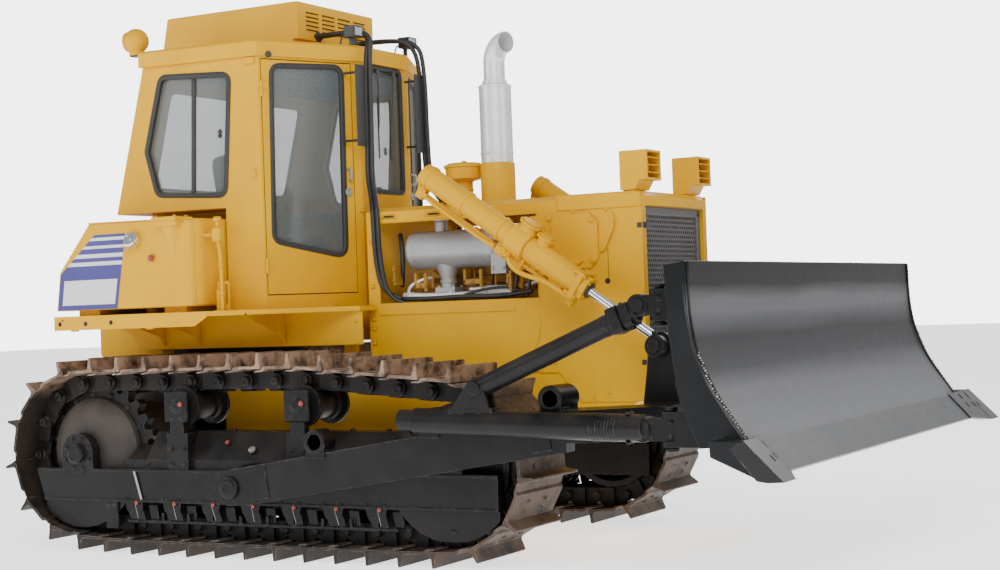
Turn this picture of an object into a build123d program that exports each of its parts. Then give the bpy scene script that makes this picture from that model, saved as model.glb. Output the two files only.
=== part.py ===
from build123d import *
import math
import os

# Crawler bulldozer with an angling blade, in millimetres.
# +X is forwards, +Y to the left and +Z up; the origin is on the ground under the middle of the machine.
# Lateral sizes are distances from the middle plane: the right side is built and then mirrored.

os.makedirs("parts", exist_ok=True)

# Track
gauge = 1880  # between the middles of the two tracks
shoe_width = 510
pitch = 203.2
grouser_height = 72
shoe_plate = 16
pin_height = 70  # pin line to shoe plate
rail_height = 45  # pin line to the rail that the wheels run on
rail_lane = 22  # thickness of one link arm
rail_inner = 80  # middle of the track to the inner face of a link
link_overhang = 34  # link end beyond its pin

# Wheels
sprocket_x, sprocket_z = -1996, 580
sprocket_teeth = 25
sprocket_width = 64
sprocket_bore = 170
idler_x = 554
idler_radius = 327
roller_radius = 90
roller_flange = 108
roller_count = 7
roller_first_x = -1592
roller_spacing = 280
carrier_radius = 95
carrier_flange = 118
carrier_z = 850
carrier_xs = (-1256, -411)
wheel_half = 145  # half the width over the roller flanges

# Track frame
frame_reach = 210  # middle of the track to the outside of a beam
beam_outer = gauge / 2 + frame_reach
beam_skin = 50
beam_bottom, beam_top = 300, 490
beam_rear_x, beam_front_x = -2336, 844
beam_slant, beam_edge = 60, 14  # slanted rear end, raised edge along top and bottom
cover_top = 700
guard_bottom = 136
guard_skin = 14
guard_clearance = 26  # guard edge to the shoe plates

# Blade arms (C-frame)
trunnion_x, trunnion_z = -762, 414
trunnion_radius = 62
arm_space = 67  # beam to arm
arm_width = 94
arm_inner = beam_outer + arm_space
arm_outer = arm_inner + arm_width
arm_slope = 8.84
arm_depth = 211
arm_front_x = 1330
cross_front_x, cross_rear_x = 1770, 1540
cross_bottom, cross_top = 672, 834
ring_radius, ring_bore = 68, 42
ring_xs = (-176, 544, 1254)
ring_outer = arm_outer + 10
ring_inners = (arm_inner, arm_inner, arm_inner - 87)
ring_lift = 66  # ring middle above the arm

# Struts
strut_y = arm_outer + 81
lower_strut = ((424, 792), (1800, 752))
lower_strut_radius = 67
strut_stub = (90, 55)  # length and radius of the plain rear end
upper_strut = ((892, 953), (1778, 1313))
upper_strut_radius = 52
strut_pin_radius = 26  # upright pins that hold the blade

# Blade
blade_half = 1760
blade_x, blade_top = 2187, 1530  # front face at the top edge
moldboard_skin = 22
end_plate = 26
end_bit_half = 1918

# Main body
case_half = 450
hood_half = 450
hood_top = 1955
band_bottom = 1866
hood_rear_x, hood_seam_x, nose_front_x = -366, 883, 1394
bay_rear_x, bay_front_x = -291, 759
bay_bottom = 1400
nose_bottom = 822
skin = 10
grille_half = 398

# Fenders
fender_outer = gauge / 2 + shoe_width / 2
fender_top = 1392
fender_lip = 83
fender_plate = 28
fender_rear_x = -2116
fender_wall = gauge / 2 - shoe_width / 2 - 65

# Cab
cab_floor = 46  # thickness of the floor
cab_top = 2850
roof_top = 2947
cab_wall = 46
cab_rear = (-1569, 950)  # rear corner at the roof
cab_middle = (-789, 880)  # corner behind the door
cab_front = (-506, 262)  # corner ahead of the door
rear_lean = 247  # how far the rear wall leans back between the roof and z = 1988
tank_notch_z = 1988

# Lift cylinders
lift_y = 667
yoke_x, yoke_z = 774, 1700
rod_eye_x, rod_eye_z = 1603, 1127
barrel_radius = 64
rod_radius = 26

running = 0.06  # radial clearance of a pin in its bore
air = 0.3  # between neighbouring curved faces


def axle(x, z):
    """Plane for a turned profile: local x is the lateral distance, local y the radius."""
    return Plane(origin=(x, 0, z), x_dir=(0, -1, 0), z_dir=(0, 0, 1))


def about(x, z):
    return Axis((x, 0, z), (0, 1, 0))


# Pin line of the track: a belt round the wheels, each wheel grown by the rail height
pitch_radius = pitch / 2 / math.sin(2 * math.pi / sprocket_teeth)
pin_z = grouser_height + shoe_plate + pin_height
roller_z = pin_z + rail_height + roller_radius
idler_pin_radius = idler_radius + rail_height
idler_z = pin_z + idler_pin_radius
belt_wheels = [
    (roller_first_x, roller_z, roller_radius + rail_height),
    (idler_x, idler_z, idler_pin_radius),
    (carrier_xs[1], carrier_z, carrier_radius + rail_height),
    (carrier_xs[0], carrier_z, carrier_radius + rail_height),
    (sprocket_x, sprocket_z, pitch_radius),
]

belt = []  # straight and curved stretches: (length, function of distance)
normals = []
for k, (x1, z1, r1) in enumerate(belt_wheels):
    x2, z2, r2 = belt_wheels[(k + 1) % len(belt_wheels)]
    normals.append(math.atan2(z2 - z1, x2 - x1) - math.pi / 2 + math.asin((r1 - r2) / math.hypot(x2 - x1, z2 - z1)))
for k, (x1, z1, r1) in enumerate(belt_wheels):
    turn = (normals[k] - normals[k - 1]) % (2 * math.pi)
    belt.append((r1 * turn, "arc", (x1, z1, r1, normals[k - 1])))
    x2, z2, r2 = belt_wheels[(k + 1) % len(belt_wheels)]
    start = (x1 + r1 * math.cos(normals[k]), z1 + r1 * math.sin(normals[k]))
    end = (x2 + r2 * math.cos(normals[k]), z2 + r2 * math.sin(normals[k]))
    belt.append((math.dist(start, end), "line", (start, end)))
belt_length = sum(stretch[0] for stretch in belt)


def belt_point(distance):
    distance = distance % belt_length
    for length, kind, data in belt:
        if distance <= length:
            break
        distance -= length
    if kind == "arc":
        x, z, r, angle = data
        angle += distance / r
        return (x + r * math.cos(angle), z + r * math.sin(angle))
    (x1, z1), (x2, z2) = data
    share = distance / length
    return (x1 + (x2 - x1) * share, z1 + (z2 - z1) * share)


def next_pin(distance, step):
    """Distance along the belt at which the straight line back to the pin is one step long."""
    here = belt_point(distance)
    low, high = distance + step * 0.98, distance + step * 1.08
    for _ in range(40):
        middle = (low + high) / 2
        if math.dist(here, belt_point(middle)) < step:
            low = middle
        else:
            high = middle
    return low


def pins_after(step):
    distances = [0.0]
    for _ in range(link_count):
        distances.append(next_pin(distances[-1], step))
    return distances


link_count = round(belt_length / pitch * 0.995)
low_step, high_step = belt_length / link_count * 0.97, belt_length / link_count
for _ in range(24):
    link_pitch = (low_step + high_step) / 2
    if pins_after(link_pitch)[-1] < belt_length:
        low_step = link_pitch
    else:
        high_step = link_pitch
pins = [belt_point(distance) for distance in pins_after(link_pitch)]
print("links a side", link_count, "pitch", round(link_pitch, 2))

# One shoe with its two links, lying along +X with the ground on +Z
shoe_half = link_pitch / 2 - 1.5
shoe_outer = pin_height + shoe_plate
with BuildPart() as shoe:
    with BuildSketch(Plane.XZ.offset(-shoe_width / 2)):
        with BuildLine():
            Polyline(
                (-shoe_half, pin_height),
                (shoe_half, pin_height),
                (shoe_half, shoe_outer - 3),
                (-shoe_half + 34, shoe_outer),
                (-shoe_half + 24, shoe_outer + grouser_height),
                (-shoe_half + 10, shoe_outer + grouser_height),
                (-shoe_half, shoe_outer),
                close=True,
            )
        make_face()
    extrude(amount=shoe_width)
lane = rail_inner + rail_lane + 0.5
shoulder = link_pitch / 2 - 56
with BuildPart() as link:
    with BuildSketch(Plane.XY.offset(-rail_height)):
        with BuildLine():
            Polyline(
                (-link_pitch / 2 - link_overhang, lane),
                (-shoulder, lane),
                (-shoulder, rail_inner),
                (link_pitch / 2 + link_overhang, rail_inner),
                (link_pitch / 2 + link_overhang, rail_inner + rail_lane),
                (shoulder, rail_inner + rail_lane),
                (shoulder, lane + rail_lane),
                (-link_pitch / 2 - link_overhang, lane + rail_lane),
                close=True,
            )
        make_face()
    extrude(amount=rail_height + pin_height)
    mirror(about=Plane.XZ)

link_places = []
for (x1, z1), (x2, z2) in zip(pins[:-1], pins[1:]):
    link_places.append(
        Plane(
            origin=((x1 + x2) / 2, -gauge / 2, (z1 + z2) / 2),
            x_dir=(x2 - x1, 0, z2 - z1),
            z_dir=(z2 - z1, 0, x1 - x2),
        ).location
    )



def seat_radius(x, z):
    """Radius of a wheel at x, z that the links' rails just rest on."""
    nearest = 1e9
    for (x1, z1), (x2, z2) in zip(pins[:-1], pins[1:]):
        ux, uz = (x2 - x1) / link_pitch, (z2 - z1) / link_pitch
        reach = (x - x1) * ux + (z - z1) * uz
        if -link_overhang <= reach <= link_pitch + link_overhang:
            nearest = min(nearest, abs((x - x1) * uz - (z - z1) * ux))
    return nearest - rail_height - air


link_solids = [
    piece.moved(place) for place in link_places for piece in shoe.part.solids() + link.part.solids()
]
track_right = Compound(link_solids, label="track_right")
export_step(track_right, "parts/track_right.step")
track_left = Compound([piece.mirror(Plane.XZ) for piece in link_solids], label="track_left")
export_step(track_left, "parts/track_left.step")
print("tracks")

# Sprockets: toothed ring on the final drive, between the link rails
bushing_radius = 30
root_radius = pitch_radius - bushing_radius
tip_radius = pitch_radius + 18
tooth_step = 2 * math.pi / sprocket_teeth
tooth_outline = []
for k in range(sprocket_teeth):
    for share, radius in ((-0.36, root_radius), (-0.17, tip_radius), (0.17, tip_radius), (0.36, root_radius)):
        angle = (k + share) * tooth_step
        tooth_outline.append((sprocket_x + radius * math.cos(angle), sprocket_z + radius * math.sin(angle)))
with BuildPart() as sprockets:
    with BuildSketch(Plane.XZ.offset(gauge / 2 - sprocket_width / 2)):
        with BuildLine():
            Polyline(*tooth_outline, close=True)
        make_face()
        with Locations((sprocket_x, sprocket_z)):
            Circle(sprocket_bore, mode=Mode.SUBTRACT)
    extrude(amount=sprocket_width)
    mirror(about=Plane.XZ)
sprockets.part.label = "sprockets"
export_step(sprockets.part, "parts/sprockets.step")

# Final drives: reduction housing inside the sprocket, domed cover outside it
hub_seat = gauge / 2 - sprocket_width / 2
dome_inner = gauge / 2 + sprocket_width / 2
cap_inner = beam_outer - beam_skin
with BuildPart() as final_drives:
    with BuildSketch(axle(sprocket_x, sprocket_z)):
        with BuildLine():
            Polyline(
                (case_half, 0),
                (case_half, 330),
                (case_half + 34, 330),
                (case_half + 60, 272),
                (hub_seat - 130, 272),
                (hub_seat - 90, 318),
                (hub_seat, 318),
                (hub_seat, sprocket_bore),
                (dome_inner, sprocket_bore),
                (dome_inner, 322),
                (dome_inner + 30, 318),
            )
            ThreePointArc((dome_inner + 30, 318), (dome_inner + 92, 236), (dome_inner + 112, 112))
            Polyline((dome_inner + 112, 112), (cap_inner, 112), (cap_inner, 0), (case_half, 0))
        make_face()
    revolve(axis=about(sprocket_x, sprocket_z))
    mirror(about=Plane.XZ)
final_drives.part.label = "final_drives"
export_step(final_drives.part, "parts/final_drives.step")

# Idlers: broad rim with a centre flange that runs between the rails
idler_tread = seat_radius(idler_x, idler_z)
idler_flange = idler_tread + 18
with BuildPart() as idlers:
    with BuildSketch(axle(idler_x, idler_z)):
        with BuildLine():
            Polyline(
                (gauge / 2 - wheel_half, 40),
                (gauge / 2 - wheel_half, 96),
                (gauge / 2 - 60, 110),
                (gauge / 2 - 60, idler_tread - 60),
                (gauge / 2 - wheel_half + 18, idler_tread - 34),
                (gauge / 2 - wheel_half + 18, idler_tread),
                (gauge / 2 - 62, idler_tread),
                (gauge / 2 - 62, idler_flange),
                (gauge / 2 + 62, idler_flange),
                (gauge / 2 + 62, idler_tread),
                (gauge / 2 + wheel_half - 18, idler_tread),
                (gauge / 2 + wheel_half - 18, idler_tread - 34),
                (gauge / 2 + 60, idler_tread - 60),
                (gauge / 2 + 60, 110),
                (gauge / 2 + wheel_half, 96),
                (gauge / 2 + wheel_half, 40),
                close=True,
            )
        make_face()
    revolve(axis=about(idler_x, idler_z))
    mirror(about=Plane.XZ)
idlers.part.label = "idlers"
export_step(idlers.part, "parts/idlers.step")


# Rollers: seven under each frame carry the machine, two on top carry the slack track
bracket_face = beam_outer - beam_skin - gauge / 2  # middle of the track to the beam


def turned_roller(radius, flange, shaft):
    middle = gauge / 2
    with BuildPart() as wheel:
        with BuildSketch(axle(0, 0)):
            with BuildLine():
                Polyline(
                    (middle - bracket_face, 0),
                    (middle - bracket_face, shaft),
                    (middle - wheel_half, shaft),
                    (middle - wheel_half, flange),
                    (middle - wheel_half + 20, flange),
                    (middle - wheel_half + 20, radius),
                    (middle - rail_inner + 10, radius),
                    (middle - rail_inner + 10, radius - 14),
                    (middle + rail_inner - 10, radius - 14),
                    (middle + rail_inner - 10, radius),
                    (middle + wheel_half - 20, radius),
                    (middle + wheel_half - 20, flange),
                    (middle + wheel_half, flange),
                    (middle + wheel_half, shaft),
                    (middle + bracket_face, shaft),
                    (middle + bracket_face, 0),
                    close=True,
                )
            make_face()
        revolve(axis=about(0, 0))
    return wheel.part


roller_xs = [roller_first_x + k * roller_spacing for k in range(roller_count)]
roller_tread = min(seat_radius(x, roller_z) for x in roller_xs)
track_roller = turned_roller(roller_tread, roller_flange, 40)
carrier_tread = min(seat_radius(x, carrier_z) for x in carrier_xs)
carrier_roller = turned_roller(carrier_tread, carrier_flange, 36)
print("treads", round(idler_tread, 1), round(roller_tread, 1), round(carrier_tread, 1))
with BuildPart() as track_rollers:
    for x in roller_xs:
        add(track_roller.moved(Location((x, 0, roller_z))))
    mirror(about=Plane.XZ)
track_rollers.part.label = "track_rollers"
export_step(track_rollers.part, "parts/track_rollers.step")
with BuildPart() as carrier_rollers:
    for x in carrier_xs:
        add(carrier_roller.moved(Location((x, 0, carrier_z))))
    mirror(about=Plane.XZ)
carrier_rollers.part.label = "carrier_rollers"
export_step(carrier_rollers.part, "parts/carrier_rollers.step")
print("wheels")

# Track frame: two beams joined by a sloped cover, with guards, posts, idler yoke and blade trunnion
beam_inner = gauge - beam_outer  # inner face of the inner beam
rear_clear = pitch_radius * math.cos(2 * math.pi / sprocket_teeth) + pin_height - guard_clearance
front_clear = math.sqrt(idler_pin_radius**2 - (link_pitch / 2) ** 2) + pin_height - guard_clearance
cover_rear_x = sprocket_x + tip_radius + 60
cover_front_x = idler_x - idler_flange - 80
with BuildPart() as track_frame_right:
    # outer beam with raised edges, and the plate under it that guards the rollers
    with BuildSketch(Plane.XZ.offset(beam_outer - beam_skin)):
        with BuildLine():
            Polyline(
                (beam_rear_x, beam_top),
                (beam_rear_x + beam_slant, beam_bottom),
                (beam_front_x, beam_bottom),
                (beam_front_x, beam_top),
                close=True,
            )
        make_face()
    extrude(amount=beam_skin)
    for z in (beam_bottom + beam_edge / 2, beam_top - beam_edge / 2):
        with Locations(((beam_rear_x + beam_slant + beam_front_x) / 2, -beam_outer, z)):
            Box(beam_front_x - beam_rear_x - beam_slant, beam_edge, beam_edge)
    guard_rear_x, guard_front_x = beam_rear_x + beam_slant, beam_front_x
    guard_length = roller_first_x - 64 - guard_rear_x
    with BuildSketch(Plane.XZ.offset(beam_outer - 12 - guard_skin)):
        with Locations((guard_rear_x + guard_length / 2, (guard_bottom + beam_bottom) / 2)):
            Rectangle(guard_length, beam_bottom - guard_bottom)
        with Locations((sprocket_x, sprocket_z)):
            Circle(rear_clear, mode=Mode.INTERSECT)
    extrude(amount=guard_skin)
    front_guard_x = roller_xs[-1] + 136
    with BuildSketch(Plane.XZ.offset(beam_outer - 12 - guard_skin)):
        with Locations(((front_guard_x + guard_front_x) / 2, (guard_bottom + beam_bottom) / 2)):
            Rectangle(guard_front_x - front_guard_x, beam_bottom - guard_bottom)
        with Locations((idler_x, idler_z)):
            Circle(front_clear, mode=Mode.INTERSECT)
    extrude(amount=guard_skin)
    # inner beam
    with BuildSketch(Plane.XZ.offset(beam_inner)):
        with Locations(((cover_rear_x + beam_front_x) / 2, (beam_bottom + beam_top) / 2)):
            Rectangle(beam_front_x - cover_rear_x, beam_top - beam_bottom)
    extrude(amount=beam_skin)
    # cover over the recoil spring
    with BuildSketch(Plane.YZ.offset(cover_rear_x)):
        with BuildLine():
            Polyline(
                (-beam_outer + 34, beam_top - 24),
                (-beam_outer + 34, beam_top + 52),
                (-gauge / 2 - 66, cover_top),
                (-gauge / 2 + 66, cover_top),
                (-beam_inner - 34, beam_top + 52),
                (-beam_inner - 34, beam_top - 24),
                close=True,
            )
        make_face()
    extrude(amount=cover_front_x - cover_rear_x)
    # lower cover between the hub and the spring cover, outside the sprocket
    hub_clear_x = sprocket_x + 322 + guard_skin
    with BuildSketch(Plane.YZ.offset(hub_clear_x)):
        with BuildLine():
            Polyline(
                (-beam_outer + 34, beam_top - 24),
                (-beam_outer + 34, beam_top + 52),
                (-gauge / 2 - sprocket_width / 2 - 20, cover_top - 80),
                (-gauge / 2 - sprocket_width / 2 - 20, beam_top - 24),
                close=True,
            )
        make_face()
    extrude(amount=cover_rear_x - hub_clear_x)
    # roller brackets under both beams
    for side in (beam_outer - beam_skin, beam_inner + 6):
        with BuildSketch(Plane.XZ.offset(side)):
            for x in roller_xs:
                with Locations((x, roller_z)):
                    Trapezoid(152, 92, 76, align=(Align.CENTER, Align.CENTER), rotation=180)
        extrude(amount=beam_skin - 6)
    # posts of the carrier rollers
    with BuildSketch(Plane.XZ.offset(gauge / 2 + bracket_face)):
        for x in carrier_xs:
            with Locations((x, (beam_top + cover_top) / 2)):
                Rectangle(150, cover_top - beam_top)
            with Locations((x, (cover_top + carrier_z) / 2 + 20)):
                Rectangle(96, carrier_z - cover_top + 60)
    extrude(amount=44)
    with BuildSketch(Plane.XZ.offset(gauge / 2 + 66)):
        for x in carrier_xs:
            with Locations((x, (beam_top + cover_top) / 2)):
                Rectangle(110, cover_top - beam_top)
    extrude(amount=bracket_face - 66)
    # idler yoke and bearing blocks
    for side in (gauge / 2 + wheel_half + 2, beam_inner):
        with BuildSketch(Plane.XZ.offset(side)):
            with Locations((idler_x, (beam_top + idler_z + 70) / 2)):
                Rectangle(160, idler_z + 70 - beam_top)
            with Locations(((cover_front_x + idler_x) / 2, beam_top + 46)):
                Rectangle(idler_x - cover_front_x, 64)
        extrude(amount=beam_outer - gauge / 2 - wheel_half - 2)
    with Locations(Location((idler_x, -gauge / 2, idler_z), (90, 0, 0))):
        Cylinder(40 - running, 2 * wheel_half + 20)
    # outer bearing of the sprocket, standing on the beam
    with BuildSketch(Plane.XZ.offset(beam_outer - beam_skin)):
        with Locations((sprocket_x, (sprocket_z + beam_top) / 2)):
            Rectangle(236, sprocket_z - beam_top)
        with Locations((sprocket_x, sprocket_z)):
            Circle(118)
    extrude(amount=beam_skin + 16)
    with BuildSketch(Plane.XZ.offset(beam_outer)):
        with Locations((sprocket_x, sprocket_z)):
            Circle(60)
    extrude(amount=36)
    # trunnion that carries the blade arm
    with BuildSketch(Plane.XZ.offset(beam_outer - 6)):
        with Locations((trunnion_x, trunnion_z)):
            Circle(112)
    extrude(amount=arm_inner - 12 - beam_outer + 6)
    with BuildSketch(Plane.XZ.offset(beam_outer - 6)):
        with Locations((trunnion_x, trunnion_z)):
            Circle(trunnion_radius)
    extrude(amount=arm_outer + 14 - beam_outer + 6)
    # brace to the pivot under the main case
    with BuildSketch(Plane.XY.offset(330)):
        with BuildLine():
            Polyline((-1060, -beam_inner - 10), (-1300, -beam_inner - 10), (-1660, -case_half), (-1480, -case_half), close=True)
        make_face()
    extrude(amount=120)
    # pad under the equalizer bar
    with Locations((-100, -(beam_inner + 13), beam_top + 26)):
        Box(150, 34, 56)
track_frame_right.part.label = "track_frame_right"
export_step(track_frame_right.part, "parts/track_frame_right.step")
with BuildPart() as track_frame_left:
    add(track_frame_right.part.mirror(Plane.XZ))
track_frame_left.part.label = "track_frame_left"
export_step(track_frame_left.part, "parts/track_frame_left.step")
print("track frames")

# Equalizer bar: rests on both track frames and rocks under the main frame
frame_bottom = 663
with BuildPart() as equalizer_bar:
    with BuildSketch(Plane.YZ.offset(-165)):
        with BuildLine():
            Polyline(
                (-beam_inner - 30, beam_top + 54),
                (beam_inner + 30, beam_top + 54),
                (beam_inner + 30, beam_top + 100),
                (180, frame_bottom - 20),
                (60, frame_bottom),
                (-60, frame_bottom),
                (-180, frame_bottom - 20),
                (-beam_inner - 30, beam_top + 100),
                close=True,
            )
        make_face()
    extrude(amount=130)
equalizer_bar.part.label = "equalizer_bar"
export_step(equalizer_bar.part, "parts/equalizer_bar.step")

# Main frame: trough that carries the engine, between the rear case and the radiator guard
frame_half = hood_half - skin
engine_bottom = 850
carrier_beam_top = fender_top - fender_plate
frame_rear_x = -1450
with BuildPart() as main_frame:
    with BuildSketch(Plane.XZ.offset(-frame_half)):
        with BuildLine():
            Polyline(
                (frame_rear_x, frame_bottom),
                (1060, frame_bottom),
                (1330, nose_bottom),
                (1330, 990),
                (frame_rear_x, 990),
                close=True,
            )
        make_face()
    extrude(amount=2 * frame_half)
    with BuildSketch(Plane.XZ.offset(-frame_half + 22)):
        with BuildLine():
            Polyline(
                (frame_rear_x + 40, frame_bottom + 20),
                (1052, frame_bottom + 20),
                (1290, nose_bottom + 8),
                (1290, 1100),
                (frame_rear_x + 40, 1100),
                close=True,
            )
        make_face()
    extrude(amount=2 * frame_half - 44, mode=Mode.SUBTRACT)
    for x in (-60, 700):
        with Locations((x, 0, (frame_bottom + 10 + engine_bottom) / 2)):
            Box(90, 2 * frame_half - 20, engine_bottom - frame_bottom - 10)
    # beam under the front of the cab, on two legs
    with Locations((-510, 0, carrier_beam_top - 50)):
        Box(100, 2 * fender_wall - 40, 100)
    for side in (-1, 1):
        with Locations((-510, side * (frame_half - 11), (carrier_beam_top + 900) / 2)):
            Box(100, 22, carrier_beam_top - 900)
main_frame.part.label = "main_frame"
export_step(main_frame.part, "parts/main_frame.step")

# Rear case with the drawbar
with BuildPart() as rear_case:
    with BuildSketch(Plane.XZ.offset(-case_half)):
        with BuildLine():
            Polyline(
                (-2300, 560),
                (-2200, 470),
                (frame_rear_x - 120, 470),
                (frame_rear_x, 560),
                (frame_rear_x, 1130),
                (-2240, 1130),
                (-2300, 1040),
                close=True,
            )
        make_face()
    extrude(amount=2 * case_half)
    # beam under the rear of the cab and the fenders
    with Locations((-1650, 0, (1100 + carrier_beam_top) / 2)):
        Box(110, 2 * fender_wall - 40, carrier_beam_top - 1100)
    with BuildSketch(Plane.XY.offset(500)):
        with BuildLine():
            Polyline((-2290, 210), (-2290, -210), (-2560, -90), (-2560, 90), close=True)
        make_face()
        with Locations((-2576, 0)):
            Circle(100)
        with Locations((-2576, 0)):
            Circle(30, mode=Mode.SUBTRACT)
    extrude(amount=70)
rear_case.part.label = "rear_case"
export_step(rear_case.part, "parts/rear_case.step")

# Fuel tank behind the cab, with its filler and two ribs pressed into the rear face
fuel_half, fuel_top = 560, 1900
fuel_rear_x, fuel_front_x = -2330, -1832
with BuildPart() as fuel_tank:
    with BuildSketch(Plane.XZ.offset(-fuel_half)):
        with BuildLine():
            Polyline(
                (fuel_rear_x, 1130),
                (fuel_front_x, 1130),
                (fuel_front_x, fuel_top),
                (fuel_rear_x + 130, fuel_top),
                (fuel_rear_x, fuel_top - 130),
                close=True,
            )
        make_face()
    extrude(amount=2 * fuel_half)
    fillet(fuel_tank.edges().filter_by(Axis.Y), 24)
    for z in (1350, 1560):
        with Locations((fuel_rear_x, 0, z)):
            Box(16, 2 * fuel_half - 200, 50)
    with Locations((fuel_rear_x + 260, fuel_half - 160, fuel_top)):
        Cylinder(46, 50, align=(Align.CENTER, Align.CENTER, Align.MIN))
        with Locations((0, 0, 50)):
            Cylinder(62, 26, align=(Align.CENTER, Align.CENTER, Align.MIN))
fuel_tank.part.label = "fuel_tank"
export_step(fuel_tank.part, "parts/fuel_tank.step")
print("body")

# Fenders: walkway over the track with a deep outer lip, carried by the inner wall
fender_front_x = -306
lip_end_x = -976
bracket_x, bracket_y = -986, 1010
with BuildPart() as fender_right:
    with BuildSketch(Plane.XY.offset(fender_top - fender_plate)):
        with BuildLine():
            Polyline(
                (fender_rear_x, -fender_outer),
                (lip_end_x, -fender_outer),
                (-345, -fender_wall - 20),
                (fender_front_x, -fender_wall - 20),
                (fender_front_x, -hood_half - 20),
                (fuel_front_x + 22, -hood_half - 20),
                (fuel_front_x + 22, -fuel_half - 20),
                (fender_rear_x, -fuel_half - 20),
                close=True,
            )
        make_face()
    extrude(amount=fender_plate)
    with BuildSketch(Plane.XZ.offset(fender_outer - 10)):
        with BuildLine():
            Polyline(
                (fender_rear_x, fender_top),
                (fender_rear_x, fender_top - fender_lip),
                (lip_end_x - 90, fender_top - fender_lip),
                (lip_end_x, fender_top - fender_plate - 6),
                (lip_end_x, fender_top),
                close=True,
            )
        make_face()
    extrude(amount=10)
    with Locations((fender_rear_x + 5, -(fender_outer + fender_wall) / 2, fender_top - fender_lip / 2)):
        Box(10, fender_outer - fender_wall, fender_lip)
    with BuildSketch(Plane.XZ.offset(fender_wall - 8)):
        with BuildLine():
            Line((fender_rear_x - 40, fender_top - 20), (fender_rear_x - 40, 1300))
            ThreePointArc((fender_rear_x - 40, 1300), (fender_rear_x + 94, 1262), (fender_rear_x + 150, 1170))
            Polyline(
                (fender_rear_x + 150, 1170),
                (fender_front_x, 1170),
                (fender_front_x, fender_top - 20),
                (fender_rear_x - 40, fender_top - 20),
            )
        make_face()
    extrude(amount=8)
    # slotted bracket with its pin between the tank and the cab
    with BuildSketch(Plane.XZ.offset(bracket_y)):
        with Locations((bracket_x, fender_top + 84)):
            Rectangle(86, 172)
        with Locations((bracket_x + 22, fender_top + 96)):
            SlotOverall(116, 22, rotation=90, mode=Mode.SUBTRACT)
    extrude(amount=10)
    with Locations((bracket_x - 12, -bracket_y - 30, fender_top)):
        Cylinder(17, 120, align=(Align.CENTER, Align.CENTER, Align.MIN))
    for x in (-1760, -1485, -852):
        with BuildSketch(Plane.YZ.offset(x)):
            with BuildLine():
                Polyline(
                    (-fender_wall + 2, fender_top - 20),
                    (-fender_outer + 120, fender_top - 20),
                    (-fender_wall - 60, 1250),
                    (-fender_wall + 2, 1180),
                    close=True,
                )
            make_face()
        extrude(amount=8)
fender_right.part.label = "fender_right"
export_step(fender_right.part, "parts/fender_right.step")
with BuildPart() as fender_left:
    add(fender_right.part.mirror(Plane.XZ))
fender_left.part.label = "fender_left"
export_step(fender_left.part, "parts/fender_left.step")

# Hydraulic tank on the right fender, battery box on the left, both on two feet
tank_inner, tank_outer = fender_wall + 32, fender_outer - 15
tank_foot = 32
tank_bottom = fender_top + tank_foot
tank_front_x, tank_top = -1056, 1926
tank_outline = [
    (-2112, tank_bottom),
    (tank_front_x, tank_bottom),
    (tank_front_x, tank_top),
    (-1839, tank_top + 8),
    (-2079, 1653),
]
tank_feet = [(x, (tank_inner + tank_outer) / 2, fender_top + tank_foot / 2) for x in (-1900, -1250)]
cap_x, cap_z = -1494, 1802
gauge_x, gauge_z = -1357, 1709
neck_x, neck_height, neck_radius = -1216, 240, 70
with BuildPart() as hydraulic_tank:
    with BuildSketch(Plane.XZ.offset(tank_inner)):
        with BuildLine():
            Polyline(*tank_outline, close=True)
        make_face()
    extrude(amount=tank_outer - tank_inner)
    tank_edge = hydraulic_tank.edges().filter_by(Axis.Z).group_by(Axis.X)[-1].sort_by(Axis.Y)[0]
    fillet(tank_edge, 90)
    fillet(hydraulic_tank.faces().sort_by(Axis.Y)[0].edges().filter_by(GeomType.LINE), 16)
    for x, y, z in tank_feet:
        with Locations((x, -y, z)):
            Box(160, 420, tank_foot)
    # filler on a tilted neck, sight plug, and the neck of the return filter under its flange
    with BuildSketch(Plane(origin=(cap_x, -tank_outer + 30, cap_z - 20), z_dir=(0, -0.85, 0.53))):
        Circle(26)
    extrude(amount=66)
    with BuildSketch(Plane(origin=(cap_x, -tank_outer - 22, cap_z + 12), z_dir=(0, -0.85, 0.53))):
        Circle(38)
    extrude(amount=26)
    with BuildSketch(Plane.XZ.offset(tank_outer)):
        with Locations((gauge_x, gauge_z)):
            RegularPolygon(20, 6)
    extrude(amount=14)
    with Locations((neck_x, -tank_outer + 12, tank_top - neck_height)):
        Cone(12, neck_radius, neck_height, align=(Align.CENTER, Align.CENTER, Align.MIN))
    with Locations((neck_x, -tank_outer + 4, tank_top)):
        Box(176, 150, 22)
hydraulic_tank.part.label = "hydraulic_tank"
export_step(hydraulic_tank.part, "parts/hydraulic_tank.step")
with BuildPart() as battery_box:
    with BuildSketch(Plane.XZ.offset(-tank_outer)):
        with BuildLine():
            Polyline(*tank_outline, close=True)
        make_face()
    extrude(amount=tank_outer - tank_inner)
    for x, y, z in tank_feet:
        with Locations((x, y, z)):
            Box(160, 420, tank_foot)
    # lid with its handle
    with Locations(((tank_front_x - 1839) / 2, (tank_inner + tank_outer) / 2, tank_top + 6)):
        Box(700, tank_outer - tank_inner - 60, 16)
        with Locations((0, 150, 8)):
            Box(150, 24, 20, align=(Align.CENTER, Align.CENTER, Align.MIN))
battery_box.part.label = "battery_box"
export_step(battery_box.part, "parts/battery_box.step")
print("fenders")

# Cab: six-sided in plan, rear wall leaning forwards, narrow below where the tanks stand
lean_rate = rear_lean / (roof_top - tank_notch_z)
notch_front_x = -1040
notch_half = fender_wall + 12


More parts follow.
